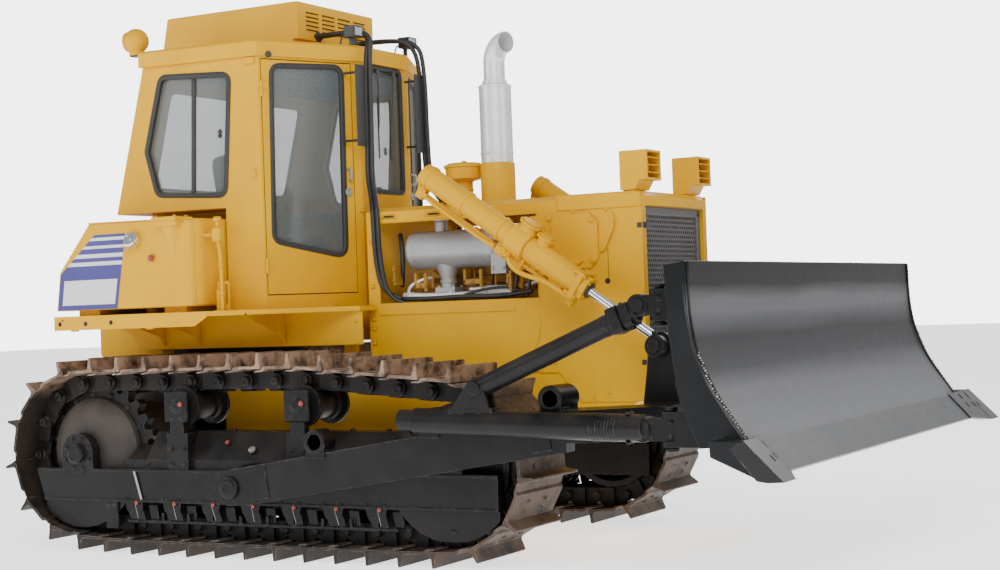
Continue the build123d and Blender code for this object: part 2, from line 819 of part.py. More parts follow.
def cab_form(inset, bottom):
    low_rear_x = cab_rear[0] - rear_lean
    with BuildPart() as form:
        with BuildSketch(Plane.XY.offset(bottom)):
            with BuildLine():
                Polyline(
                    (low_rear_x, cab_rear[1]),
                    (cab_middle[0], cab_middle[1]),
                    (cab_front[0], cab_front[1]),
                    (cab_front[0], -cab_front[1]),
                    (cab_middle[0], -cab_middle[1]),
                    (low_rear_x, -cab_rear[1]),
                    close=True,
                )
            make_face()
            if inset:
                offset(amount=-inset, kind=Kind.INTERSECTION)
        extrude(amount=cab_top - bottom)
        with BuildSketch(Plane.XZ.offset(-1200)):
            with BuildLine():
                Polyline(
                    (low_rear_x - 10 + inset, tank_notch_z - 39),
                    (cab_rear[0] + inset + 20, roof_top + 78),
                    (low_rear_x - 400, roof_top + 78),
                    (low_rear_x - 400, tank_notch_z - 39),
                    close=True,
                )
            make_face()
        extrude(amount=2400, mode=Mode.SUBTRACT)
        low = (bottom - 10 + tank_notch_z + inset) / 2
        for side in (-1, 1):
            with Locations((notch_front_x + inset - 600, side * (notch_half - inset + 400), low)):
                Box(1200, 800, tank_notch_z + inset - bottom + 10, mode=Mode.SUBTRACT)
    return form.part


middle_point = Vector(cab_middle[0], -cab_middle[1], 0)
front_point = Vector(cab_front[0], -cab_front[1], 0)
along_door = (front_point - middle_point).normalized()
door_width = (front_point - middle_point).length
door_plane = Plane(origin=middle_point, x_dir=along_door, z_dir=(along_door.Y, -along_door.X, 0))
door_rear, door_front = 20, 619
door_bottom, door_head = 1476, 2832
door_gap = 6
door_skin = 30
hinge_out = 9  # hinge line outside the leaf
hinge_along = 13
glass_skin = 6

side_window = [(-1463, 2778), (-995, 2756), (-1043, 2068), (-1511, 2096), (-1577, 2349)]
door_window = [(92, 2792), (551, 2806), (541, 1696), (74, 1788)]
front_window = (190, 2090, 2826)
rear_window = (690, 2150, 2740)


def window_sketch(plane, outline, radius, inset=0):
    with BuildSketch(plane) as hole:
        with BuildLine():
            Polyline(*outline, close=True)
        make_face()
        fillet(hole.vertices(), radius)
        if inset:
            offset(amount=-inset)
    return hole


with BuildPart() as door_hole:
    with BuildSketch(door_plane.offset(-90)):
        with Locations(((door_rear + door_front) / 2, (door_bottom + door_head) / 2)):
            Rectangle(door_front - door_rear + 2 * door_gap, door_head - door_bottom + 2 * door_gap)
    extrude(amount=120)
    mirror(about=Plane.XZ)
side_rate = (cab_rear[1] - cab_middle[1]) / (cab_middle[0] - cab_rear[0] + rear_lean)
side_angle = math.atan(side_rate)
side_plane = Plane(origin=middle_point, x_dir=(math.cos(side_angle), math.sin(side_angle), 0),
                   z_dir=(math.sin(side_angle), -math.cos(side_angle), 0))
flat_window = [((x - cab_middle[0]) / math.cos(side_angle), z) for x, z in side_window]
rear_angle = math.atan(lean_rate)
rear_middle = (rear_window[1] + rear_window[2]) / 2
rear_plane = Plane(origin=(cab_rear[0] - lean_rate * (roof_top - rear_middle), 0, rear_middle), x_dir=(0, 1, 0),
                   z_dir=(math.cos(rear_angle), 0, -math.sin(rear_angle)))
rear_outline = [(-rear_window[0], -300), (rear_window[0], -300), (rear_window[0], 300), (-rear_window[0], 300)]
with BuildPart() as side_hole:
    extrude(window_sketch(side_plane.offset(-80), flat_window, 50).sketch, amount=120)
    mirror(about=Plane.XZ)
hinge_zs = (1640, 2660)
hinge_radius, hinge_pin = 9, 5
hinge_plane = Plane(origin=door_plane.from_local_coords((hinge_along, 0, hinge_out)), x_dir=along_door)
with BuildPart() as cab_hinges:
    for z in hinge_zs:
        with BuildSketch(hinge_plane.offset(z - 45)):
            Circle(hinge_radius)
            with Locations((-8, hinge_out - 2)):
                Rectangle(16, 4)
        extrude(amount=45 - air)
        with BuildSketch(hinge_plane.offset(z - 45)):
            Circle(hinge_pin)
        extrude(amount=84)
    mirror(about=Plane.XZ)
with BuildPart() as door_hinge:
    for z in hinge_zs:
        with BuildSketch(hinge_plane.offset(z)):
            Circle(hinge_radius)
            with Locations((24, hinge_out - 2)):
                Rectangle(48, 4)
            Circle(hinge_pin + running, mode=Mode.SUBTRACT)
        extrude(amount=45)
with BuildPart() as cab_body:
    add(cab_form(0, fender_top))
    add(cab_form(cab_wall, fender_top + cab_floor), mode=Mode.SUBTRACT)
    add(side_hole.part, mode=Mode.SUBTRACT)
    add(door_hole.part, mode=Mode.SUBTRACT)
    with Locations((cab_front[0], 0, (front_window[1] + front_window[2]) / 2)):
        Box(120, 2 * front_window[0], front_window[2] - front_window[1], mode=Mode.SUBTRACT)
    extrude(window_sketch(rear_plane.offset(-40), rear_outline, 50).sketch, amount=120, mode=Mode.SUBTRACT)
    add(cab_hinges.part)
cab_body.part.label = "cab_body"
export_step(cab_body.part, "parts/cab_body.step")

with BuildPart() as cab_roof:
    with BuildSketch(Plane.XY.offset(cab_top)):
        with BuildLine():
            Polyline(
                (cab_rear[0] - 34, cab_rear[1] + 14),
                (cab_middle[0] + 6, cab_middle[1] + 16),
                (cab_front[0] + 20, cab_front[1] + 8),
                (cab_front[0] + 20, -cab_front[1] - 8),
                (cab_middle[0] + 6, -cab_middle[1] - 16),
                (cab_rear[0] - 34, -cab_rear[1] - 14),
                close=True,
            )
        make_face()
    extrude(amount=roof_top - cab_top)
    chamfer(cab_roof.faces().sort_by(Axis.Z)[-1].edges(), 14)
cab_roof.part.label = "cab_roof"
export_step(cab_roof.part, "parts/cab_roof.step")

with BuildPart() as door_right:
    with BuildSketch(door_plane.offset(-door_skin)):
        with Locations(((door_rear + door_front) / 2, (door_bottom + door_head) / 2)):
            Rectangle(door_front - door_rear, door_head - door_bottom)
        add(window_sketch(Plane.XY, door_window, 56).sketch, mode=Mode.SUBTRACT)
    extrude(amount=door_skin)
    add(door_hinge.part)
door_right.part.label = "door_right"
export_step(door_right.part, "parts/door_right.step")
with BuildPart() as door_left:
    add(door_right.part.mirror(Plane.XZ))
door_left.part.label = "door_left"
export_step(door_left.part, "parts/door_left.step")
with BuildPart() as door_glass_right:
    extrude(window_sketch(door_plane.offset(-18), door_window, 56, air).sketch, amount=glass_skin)
door_glass_right.part.label = "door_glass_right"
export_step(door_glass_right.part, "parts/door_glass_right.step")
with BuildPart() as door_glass_left:
    add(door_glass_right.part.mirror(Plane.XZ))
door_glass_left.part.label = "door_glass_left"
export_step(door_glass_left.part, "parts/door_glass_left.step")

with BuildPart() as cab_glass:
    extrude(window_sketch(side_plane.offset(-26), flat_window, 50, air).sketch, amount=glass_skin)
    mirror(about=Plane.XZ)
    with Locations((cab_front[0] - 20, 0, (front_window[1] + front_window[2]) / 2)):
        Box(glass_skin, 2 * (front_window[0] - air), front_window[2] - front_window[1] - 2 * air)
    extrude(window_sketch(rear_plane.offset(20), rear_outline, 50, air).sketch, amount=glass_skin)
cab_glass.part.label = "cab_glass"
export_step(cab_glass.part, "parts/cab_glass.step")

# Inside the cab
with BuildPart() as seat:
    seat_floor = fender_top + cab_floor
    with Locations((-1330, 0, (seat_floor + 1750) / 2)):
        Box(380, 400, 1750 - seat_floor)
    with BuildSketch(Plane.XZ.offset(-260)):
        with BuildLine():
            Polyline((-1560, 1750), (-1060, 1750), (-1050, 1880), (-1440, 1860), (-1560, 2400), (-1670, 2400),
                     (-1600, 1850), close=True)
        make_face()
    extrude(amount=520)
seat.part.label = "seat"
export_step(seat.part, "parts/seat.step")
with BuildPart() as console:
    with BuildSketch(Plane.XZ.offset(-210)):
        with BuildLine():
            Polyline((-552, seat_floor), (-552, 2040), (-640, 2060), (-760, 1900), (-700, seat_floor), close=True)
        make_face()
    extrude(amount=420)
console.part.label = "console"
export_step(console.part, "parts/console.step")

# Air conditioner on the roof: a box that overhangs the rear of the cab, on a narrower base, with air slots in front
ac_half = 410
ac_front_x, ac_rear_x = -832, -1874
ac_foot = 63  # height of the base
ac_height = 289
slot_rows, slot_groups = 5, (-255, -85, 85, 255)
with BuildPart() as ac_unit:
    with BuildSketch(Plane.XZ.offset(-ac_half)):
        with BuildLine():
            Polyline(
                (ac_rear_x + 330, roof_top),
                (ac_front_x - 40, roof_top),
                (ac_front_x - 40, roof_top + ac_foot),
                (ac_front_x, roof_top + ac_foot),
                (ac_front_x, roof_top + ac_height),
                (ac_rear_x + 48, roof_top + ac_height),
                (ac_rear_x, roof_top + ac_foot),
                (ac_rear_x + 330, roof_top + ac_foot),
                close=True,
            )
        make_face()
    extrude(amount=2 * ac_half)
    chamfer(ac_unit.faces().sort_by(Axis.Z)[-1].edges(), 8)
    for y in slot_groups:
        for row in range(slot_rows):
            with Locations((ac_front_x, y, roof_top + ac_foot + 62 + row * 26)):
                Box(24, 140, 12, mode=Mode.SUBTRACT)
ac_unit.part.label = "ac_unit"
export_step(ac_unit.part, "parts/ac_unit.step")

# Work lamps at the front of the roof, round lamp on an arm behind its right corner
beacon_at = (-1751, -800)
with BuildPart() as roof_lamps:
    for side in (-1, 1):
        with Locations((-524, side * 300, roof_top + 30)):
            Box(20, 20, 60)
        with Locations((-510, side * 300, roof_top + 78)):
            Box(70, 96, 66)
    with Locations(((beacon_at[0] - 1560) / 2, beacon_at[1], roof_top + 4)):
        Box(-1560 - beacon_at[0] + 60, 50, 8)
roof_lamps.part.label = "roof_lamps"
export_step(roof_lamps.part, "parts/roof_lamps.step")
with BuildPart() as beacon:
    with Locations((beacon_at[0], beacon_at[1], roof_top + 8)):
        Cylinder(45, 30, align=(Align.CENTER, Align.CENTER, Align.MIN))
        with Locations((0, 0, 88)):
            Sphere(76)
            with Locations((-48, 0, 0)):
                Box(60, 160, 160, align=(Align.MAX, Align.CENTER, Align.CENTER), mode=Mode.SUBTRACT)
                Cylinder(62, 12, rotation=(0, 90, 0), align=(Align.CENTER, Align.CENTER, Align.MAX))
beacon.part.label = "beacon"
export_step(beacon.part, "parts/beacon.step")

# Hoses from the air conditioner, down the front corners of the cab and into the engine bay
hose_radius = 10
hose_route = [
    (-832, -200, 3040),
    (-640, -200, 3045),
    (-440, -232, 3020),
    (-425, -312, 2860),
    (-425, -318, 2340),
    (-420, -336, 2150),
    (-362, -396, 2032),
    (-303, -476, 1930),
    (-298, -472, 1640),
    (-250, -468, 1450),
    (-160, -420, 1426),
]
hose_bends = [60, 60, 60, 400, 60, 60, 60, 120, 60]
with BuildPart() as ac_hoses:
    with BuildLine() as hose_line:
        FilletPolyline(*hose_route, radius=hose_bends)
    with BuildSketch(Plane(origin=hose_route[0], z_dir=(1, 0, 0))):
        Circle(hose_radius)
    sweep(path=hose_line.wire())
    mirror(about=Plane.XZ)
ac_hoses.part.label = "ac_hoses"
export_step(ac_hoses.part, "parts/ac_hoses.step")

# Hood over the engine: crowned top with turned-down sides, rear posts and bulkhead
seam_radius, seam_z = 270, 1260
with BuildPart() as hood:
    with BuildSketch(Plane.YZ.offset(hood_rear_x)):
        with BuildLine():
            Polyline(
                (-hood_half, band_bottom),
                (-hood_half, hood_top - 24),
                (-hood_half + 60, hood_top),
                (hood_half - 60, hood_top),
                (hood_half, hood_top - 24),
                (hood_half, band_bottom),
                (hood_half - skin, band_bottom),
                (hood_half - skin, hood_top - 30),
                (hood_half - 64, hood_top - skin),
                (-hood_half + 64, hood_top - skin),
                (-hood_half + skin, hood_top - 30),
                (-hood_half + skin, band_bottom),
                close=True,
            )
        make_face()
    extrude(amount=hood_seam_x - hood_rear_x)
    for side in (-1, 1):
        with Locations(((hood_rear_x + bay_rear_x) / 2, side * (hood_half - skin / 2), (990 + band_bottom) / 2)):
            Box(bay_rear_x - hood_rear_x, skin, band_bottom - 990)
        with Locations(((bay_rear_x + bay_front_x) / 2, side * (hood_half - skin / 2), (990 + bay_bottom) / 2)):
            Box(bay_front_x - bay_rear_x, skin, bay_bottom - 990)
    with Locations((bay_rear_x - 20, 0, (1000 + hood_top - 24) / 2)):
        Box(12, 2 * hood_half - 2 * skin, hood_top - 24 - 1000 - skin)
    for side in (-1, 1):
        # two pressed slots in the band, a pressed bar under the bay and the round seam of the nose plate
        with Locations((-212, side * hood_half, 1895), (92, side * hood_half, 1895)):
            Box(112, 7, 15, mode=Mode.SUBTRACT)
        with Locations((154, side * hood_half, bay_bottom - 60)):
            Box(894, 12, 16)
        with BuildSketch(Plane.XZ.offset(side * (hood_half - 1.5) - 1.5)):
            with Locations((bay_front_x - seam_radius, seam_z)):
                Circle(seam_radius + 2)
                Circle(seam_radius - 2, mode=Mode.SUBTRACT)
            with Locations((bay_front_x, seam_z)):
                Rectangle(2 * seam_radius, 2 * seam_radius, align=(Align.CENTER, Align.MAX), mode=Mode.INTERSECT)
        extrude(amount=3, mode=Mode.SUBTRACT)
hood.part.label = "hood"
export_step(hood.part, "parts/hood.step")

# Nose: radiator guard with the side plates that reach down in front of the frame
grille_bottom, grille_top = nose_bottom + 60, 1872
lip_bow = 34
mesh_step, mesh_hole = 64, 46
mesh_columns, mesh_rows = 11, 14
with BuildPart() as nose:
    with BuildSketch(Plane.XZ.offset(-hood_half)):
        with BuildLine():
            Polyline(
                (bay_front_x, nose_bottom + 290),
                (bay_front_x, band_bottom),
                (hood_seam_x, band_bottom),
                (hood_seam_x, hood_top),
                (nose_front_x - 30, hood_top),
                (nose_front_x, hood_top - 30),
                (nose_front_x, nose_bottom),
                (bay_front_x + 240, nose_bottom),
                close=True,
            )
        make_face()
    extrude(amount=2 * hood_half)
    with BuildSketch(Plane.XZ.offset(-hood_half + skin)):
        with BuildLine():
            Polyline(
                (bay_front_x - 50, nose_bottom - 50),
                (bay_front_x - 50, band_bottom - 1),
                (hood_seam_x - 50, band_bottom - 1),
                (hood_seam_x - 50, hood_top - skin),
                (nose_front_x - 40, hood_top - skin),
                (nose_front_x - 40, nose_bottom - 50),
                close=True,
            )
        make_face()
    extrude(amount=2 * hood_half - 2 * skin, mode=Mode.SUBTRACT)
    with Locations((nose_front_x, 0, (grille_bottom + grille_top) / 2)):
        Box(120, 2 * grille_half, grille_top - grille_bottom, mode=Mode.SUBTRACT)
    # bowed lip above the grille
    with BuildSketch(Plane.XY.offset(grille_top + 2)):
        with BuildLine():
            ThreePointArc((nose_front_x, -hood_half), (nose_front_x + lip_bow, 0), (nose_front_x, hood_half))
            Polyline(
                (nose_front_x, hood_half),
                (nose_front_x - 30, hood_half),
                (nose_front_x - 30, -hood_half),
                (nose_front_x, -hood_half),
            )
        make_face()
    extrude(amount=hood_top - 32 - grille_top)
nose.part.label = "nose"
export_step(nose.part, "parts/nose.step")

with BuildPart() as grille:
    with BuildSketch(Plane.YZ.offset(nose_front_x - 34)):
        with Locations((0, (grille_bottom + grille_top) / 2)):
            Rectangle(2 * grille_half - 2 * air, grille_top - grille_bottom - 2 * air)
            with GridLocations(mesh_step, mesh_step, mesh_columns, mesh_rows):
                Rectangle(mesh_hole, mesh_hole, mode=Mode.SUBTRACT)
    extrude(amount=14)
grille.part.label = "grille"
export_step(grille.part, "parts/grille.step")

with BuildPart() as radiator:
    with Locations((1230, 0, 1340)):
        Box(120, 800, 940)
radiator.part.label = "radiator"
export_step(radiator.part, "parts/radiator.step")

# Guarded headlamps: a box with its mouth cut short below, three shelves across it and the lamp inside
guard_x = (1271, 1433)
guard_y, guard_width = 355, 186
guard_bottom_z, guard_top_z = hood_top + 5, 2172
guard_wall = 12
mouth_z = guard_bottom_z + 50
lamp_radius = 62
with BuildPart() as headlamp_guards:
    with BuildSketch(Plane.XZ.offset(guard_y - guard_width / 2)):
        with BuildLine():
            Polyline(
                (guard_x[0], guard_bottom_z),
                (guard_x[1] - 75, guard_bottom_z),
                (guard_x[1] - 45, mouth_z),
                (guard_x[1], mouth_z),
                (guard_x[1], guard_top_z),
                (guard_x[0], guard_top_z),
                close=True,
            )
        make_face()
    extrude(amount=guard_width)
    with Locations((guard_x[1] - 40, -guard_y, (mouth_z + guard_top_z) / 2)):
        Box(120, guard_width - 2 * guard_wall, guard_top_z - mouth_z - 2 * guard_wall, mode=Mode.SUBTRACT)
    for share in (0.25, 0.5, 0.75):
        with Locations((guard_x[1] - 28, -guard_y, mouth_z + share * (guard_top_z - mouth_z))):
            Box(52, guard_width - 2 * guard_wall, 5)
    with Locations((guard_x[1] - 100, -guard_y, (mouth_z + guard_top_z) / 2)):
        Cylinder(lamp_radius, 44, rotation=(0, 90, 0), align=(Align.CENTER, Align.CENTER, Align.MIN))
    with Locations((guard_x[0] + 30, -guard_y, hood_top + 2.5)):
        Box(60, 100, 5)
    mirror(about=Plane.XZ)
headlamp_guards.part.label = "headlamp_guards"
export_step(headlamp_guards.part, "parts/headlamp_guards.step")

# Engine, muffler and what stands on the hood
block_half, block_top = 220, 1480
block_rear_x, block_front_x = -150, 820
head_top = block_top + 60
fan_z, fan_radius = 1300, 340
manifold_top = 1450
with BuildPart() as engine:
    with BuildSketch(Plane.XZ.offset(-block_half)):
        with BuildLine():
            Polyline(
                (block_rear_x, engine_bottom),
                (block_front_x, engine_bottom),
                (block_front_x + 80, engine_bottom + 100),
                (block_front_x + 80, fan_z),
                (block_front_x - 20, block_top),
                (block_rear_x, block_top),
                close=True,
            )
        make_face()
    extrude(amount=2 * block_half)
    # cylinder heads with three rocker covers, manifold rail and the ports between them
    with Locations(((block_rear_x + block_front_x) / 2 - 10, 0, (block_top + head_top) / 2)):
        Box(880, 250, head_top - block_top)
    for x in (40, 330, 620):
        with Locations((x, 20, head_top + 35)):
            Box(230, 190, 70)
    with Locations((370, -block_half - 42, manifold_top - 35)):
        Box(860, 90, 70)
    for x in (-20, 200, 330, 460, 590, 720):
        with Locations((x, -155, block_top - 10)):
            Box(52, 150, 60)
    with Locations((1000, 0, fan_z)):
        Cylinder(60, 200, rotation=(0, 90, 0))
    with Locations((1120, 0, fan_z)):
        Cylinder(fan_radius, 40, rotation=(0, 90, 0))
engine.part.label = "engine"
export_step(engine.part, "parts/engine.step")

muffler_x, muffler_y, muffler_z = 150, -300, 1700
muffler_radius, muffler_length = 110, 590
inlet_x = 90
with BuildPart() as muffler:
    with Locations((muffler_x, muffler_y, muffler_z)):
        Cylinder(muffler_radius, muffler_length, rotation=(0, 90, 0))
    fillet(muffler.edges().filter_by(GeomType.CIRCLE), 30)
    # inlet that narrows down to its flange on the manifold, outlet stub on top, bracket at the front end
    with Locations((inlet_x, muffler_y, muffler_z - muffler_radius - 60)):
        Cone(42, 72, 90, align=(Align.CENTER, Align.CENTER, Align.MIN))
    with Locations((inlet_x, muffler_y, manifold_top)):
        Cylinder(42, muffler_z - muffler_radius - 50 - manifold_top, align=(Align.CENTER, Align.CENTER, Align.MIN))
    with Locations((inlet_x, muffler_y + 14, manifold_top)):
        Box(130, 120, 30, align=(Align.CENTER, Align.CENTER, Align.MIN))
    with Locations((inlet_x - 40, muffler_y, muffler_z + muffler_radius - 12)):
        Cylinder(36, 60, align=(Align.CENTER, Align.CENTER, Align.MIN))
    with Locations((480, muffler_y - 50, 1620)):
        Box(96, 110, 150)
muffler.part.label = "muffler"
export_step(muffler.part, "parts/muffler.step")

stack_x = 274
base_radius, base_height = 100, 245
body_radius, body_height = 95, 458
pipe_radius, pipe_skin = 63, 5
pipe_straight, pipe_turn = 132, 112
with BuildPart() as exhaust_stack:
    with Locations((stack_x, 0, hood_top)):
        Cylinder(base_radius, base_height, align=(Align.CENTER, Align.CENTER, Align.MIN))
        Cylinder(base_radius + 12, 14, align=(Align.CENTER, Align.CENTER, Align.MIN))
        with Locations((0, 0, base_height)):
            Cylinder(body_radius, body_height, align=(Align.CENTER, Align.CENTER, Align.MIN))
            with Locations((0, 0, body_height)):
                Cone(body_radius, pipe_radius + 4, 16, align=(Align.CENTER, Align.CENTER, Align.MIN))
    pipe_foot = Vector(stack_x, 0, hood_top + base_height + body_height)
    with BuildLine() as stack_line:
        turn_out = Vector(0.94, -0.34, 0)
        stack_bend = pipe_foot + Vector(0, 0, pipe_straight)
        Line(pipe_foot, stack_bend)
        ThreePointArc(stack_bend, stack_bend + turn_out * pipe_turn * 0.293 + Vector(0, 0, pipe_turn * 0.707),
                      stack_bend + turn_out * pipe_turn + Vector(0, 0, pipe_turn))
    with BuildSketch(Plane(origin=pipe_foot)):
        Circle(pipe_radius)
    sweep(path=stack_line.line)
    with BuildSketch(Plane(origin=pipe_foot)):
        Circle(pipe_radius - pipe_skin)
    sweep(path=stack_line.line, mode=Mode.SUBTRACT)
exhaust_stack.part.label = "exhaust_stack"
export_step(exhaust_stack.part, "parts/exhaust_stack.step")

cleaner_x = 46
cleaner_radius = 123
with BuildPart() as precleaner:
    with BuildSketch(Plane(origin=(cleaner_x, 0, hood_top), x_dir=(1, 0, 0), z_dir=(0, -1, 0))):
        with BuildLine():
            Polyline(
                (0, 0),
                (62, 0),
                (62, 12),
                (50, 14),
                (50, 150),
                (cleaner_radius - 16, 166),
                (cleaner_radius - 8, 232),
                (cleaner_radius, 236),
                (cleaner_radius, 248),
                (cleaner_radius - 30, 262),
                (0, 266),
                close=True,
            )
        make_face()
    revolve(axis=Axis((cleaner_x, 0, hood_top), (0, 0, 1)))
precleaner.part.label = "precleaner"
export_step(precleaner.part, "parts/precleaner.step")
print("hood")

# Lift cylinders: the barrel swings in a yoke on the nose, the rod's eye pulls the blade frame
lift_vector = Vector(rod_eye_x - yoke_x, 0, rod_eye_z - yoke_z)
lift_along = lift_vector.normalized()
rod_distance = lift_vector.length
barrel_low, barrel_high = 480, -722
support_face = 560
with BuildPart() as cylinder_supports:
    with BuildSketch(Plane.XZ.offset(hood_half)) as support_plate:
        with Locations((yoke_x + 130, yoke_z)):
            Rectangle(460, 300)
        chamfer(support_plate.vertices(), 50)
    extrude(amount=16)
    with BuildSketch(Plane.XZ.offset(hood_half + 16)):
        with Locations((yoke_x, yoke_z)):
            Circle(92)
            Circle(36 + running, mode=Mode.SUBTRACT)
    extrude(amount=support_face - hood_half - 26)
    mirror(about=Plane.XZ)
cylinder_supports.part.label = "cylinder_supports"
export_step(cylinder_supports.part, "parts/cylinder_supports.step")

lift_plane = Plane(origin=(yoke_x, -lift_y, yoke_z), x_dir=(0, 1, 0), z_dir=(lift_along.X, 0, lift_along.Z))
cap_plane = Plane(origin=lift_plane.origin, x_dir=(0, -1, 0), z_dir=lift_plane.y_dir)  # local y runs down the barrel
feed_radius, feed_drop = 13, 96
with BuildPart() as barrel_right:
    with BuildSketch(lift_plane.offset(barrel_high)):
        Circle(barrel_radius)
    extrude(amount=barrel_low - barrel_high)
    with BuildSketch(lift_plane.offset(-60)):
        Circle(barrel_radius + 26)
    extrude(amount=120)
    with BuildSketch(Plane.XZ.offset(hood_half + 20)):
        with Locations((yoke_x, yoke_z)):
            Circle(36)
    extrude(amount=lift_y - hood_half - 60)
    # stepped gland, end cap, pivot caps above the collar, and the feed pipes with their valve block below
    with BuildSketch(lift_plane.offset(barrel_low - 70)):
        Rectangle(150, 150)
    extrude(amount=34)
    with BuildSketch(lift_plane.offset(barrel_low - 36)):
        Rectangle(112, 112)
    extrude(amount=36)
    with BuildSketch(lift_plane.offset(60)):
        Circle(barrel_radius + 5)
    extrude(amount=barrel_low - 130)
    for at, radius, height in ((0, 54, 46), (118, 42, 30)):
        with BuildSketch(cap_plane):
            with Locations((0, at)):
                Circle(radius)
        extrude(amount=barrel_radius + height + 22)
        with BuildSketch(cap_plane.offset(barrel_radius + height)):
            with Locations((0, at)):
                Circle(radius + 14)
        extrude(amount=12)
    for start, end in ((barrel_high + 24, -78), (70, barrel_low - 56)):
        with BuildSketch(lift_plane.offset(start)):
            with Locations((0, -feed_drop)):
                Circle(feed_radius)
        extrude(amount=end - start)
    for at, length in ((barrel_high + 16, 48), (-110, 190), (barrel_low - 74, 38)):
        with BuildSketch(lift_plane.offset(at)):
            with Locations((0, -(barrel_radius + feed_drop) / 2)):
                Rectangle(50, feed_drop - barrel_radius + 64)
        extrude(amount=length)
    with BuildSketch(lift_plane.offset(0)):
        Circle(rod_radius + running)
    extrude(amount=barrel_low + 2, mode=Mode.SUBTRACT)
    with BuildSketch(lift_plane.offset(barrel_high + 40)):
        Circle(barrel_radius - 12)
    extrude(amount=barrel_low - 110 - barrel_high, mode=Mode.SUBTRACT)
barrel_right.part.label = "barrel_right"
export_step(barrel_right.part, "parts/barrel_right.step")
with BuildPart() as barrel_left:
    add(barrel_right.part.mirror(Plane.XZ))
barrel_left.part.label = "barrel_left"
export_step(barrel_left.part, "parts/barrel_left.step")

piston_at = -260
with BuildPart() as rod_right:
    with BuildSketch(lift_plane.offset(piston_at)):
        Circle(rod_radius)
    extrude(amount=rod_distance - piston_at - 40)
    with BuildSketch(lift_plane.offset(piston_at)):
        Circle(barrel_radius - 12 - running)
    extrude(amount=50)
    with BuildSketch(Plane.XZ.offset(lift_y - 36)):
        with Locations((rod_eye_x, rod_eye_z)):
            Circle(66)
    extrude(amount=72)
    with BuildSketch(Plane.XZ.offset(lift_y - 41)):
        with Locations((rod_eye_x, rod_eye_z)):
            Circle(30)
    extrude(amount=82)
rod_right.part.label = "rod_right"
export_step(rod_right.part, "parts/rod_right.step")
with BuildPart() as rod_left:
    add(rod_right.part.mirror(Plane.XZ))
rod_left.part.label = "rod_left"
export_step(rod_left.part, "parts/rod_left.step")

# C-frame: two arms outside the tracks, joined across the front
slope = math.tan(math.radians(arm_slope))
arm_rear_x = trunnion_x + 130


def arm_top_at(x):
    return 531 + (x + 639) * slope


ring_pins = [(x, arm_top_at(x) + ring_lift) for x in ring_xs]
with BuildPart() as c_frame:
    with BuildSketch(Plane.XZ.offset(arm_inner)):
        with BuildLine():
            Polyline(
                (trunnion_x, trunnion_z - 100),
                (arm_rear_x - 10, arm_top_at(arm_rear_x) - arm_depth),
                (arm_front_x, arm_top_at(arm_front_x) - arm_depth),
                (arm_front_x, arm_top_at(arm_front_x)),
                (arm_rear_x - 20, arm_top_at(arm_rear_x - 20)),
                (trunnion_x, trunnion_z + 100),
                close=True,
            )
        make_face()
        with Locations((trunnion_x, trunnion_z)):
            Circle(100)
            Circle(trunnion_radius + running, mode=Mode.SUBTRACT)
    extrude(amount=arm_outer - arm_inner)
    with BuildSketch(Plane.XY.offset(cross_bottom)):
        with BuildLine():
            Polyline(
                (arm_front_x - 200, -arm_outer),
                (arm_front_x + 100, -arm_outer),
                (cross_front_x, -arm_outer + 330),
                (cross_front_x, 0),
                (cross_rear_x, 0),
                (cross_rear_x, -arm_inner + 330),
                (arm_front_x - 200, -arm_inner),
                close=True,
            )
        make_face()
    extrude(amount=cross_top - cross_bottom)
    for (x, z), inner in zip(ring_pins, ring_inners):
        with BuildSketch(Plane.XZ.offset(inner)):
            with Locations((x, z)):
                Circle(ring_radius)
            with Locations((x, z - ring_lift / 2 - 10)):
                Rectangle(2 * ring_radius - 20, ring_lift + 20)
        extrude(amount=ring_outer - inner)
    with BuildSketch(Plane.XZ.offset(ring_inners[2] - 10)):
        for x, z in ring_pins:
            with Locations((x, z)):
                Circle(ring_bore)
    extrude(amount=ring_outer - ring_inners[2] + 20, mode=Mode.SUBTRACT)
    for side in (lift_y - 41 - 5 - 26, lift_y + 41 + 5):
        with BuildSketch(Plane.XZ.offset(side)):
            with BuildLine():
                Polyline(
                    (rod_eye_x - 110, cross_top - 20),
                    (rod_eye_x + 130, cross_top - 20),
                    (rod_eye_x + 60, rod_eye_z + 30),
                    (rod_eye_x - 60, rod_eye_z + 30),
                    close=True,
                )
            make_face()
            with Locations((rod_eye_x, rod_eye_z + 10)):
                Circle(62)
        extrude(amount=26)
    # tongue and ball in the middle of the blade
    with Locations((cross_front_x + 60, 0, 800)):
        Box(140, 120, 70)
    with Locations((1899, 0, 800)):
        Sphere(70)
    mirror(about=Plane.XZ)
c_frame.part.label = "c_frame"
export_step(c_frame.part, "parts/c_frame.step")

# Struts between the arms and the blade
def strut_axis_plane(ends):
    (x1, z1), (x2, z2) = ends
    return Plane(origin=(x1, -strut_y, z1), x_dir=(0, 1, 0), z_dir=(x2 - x1, 0, z2 - z1)), math.dist(*ends)


low_pin, high_pin = upper_strut
lug_thickness = 28  # blade lugs above and below each strut end
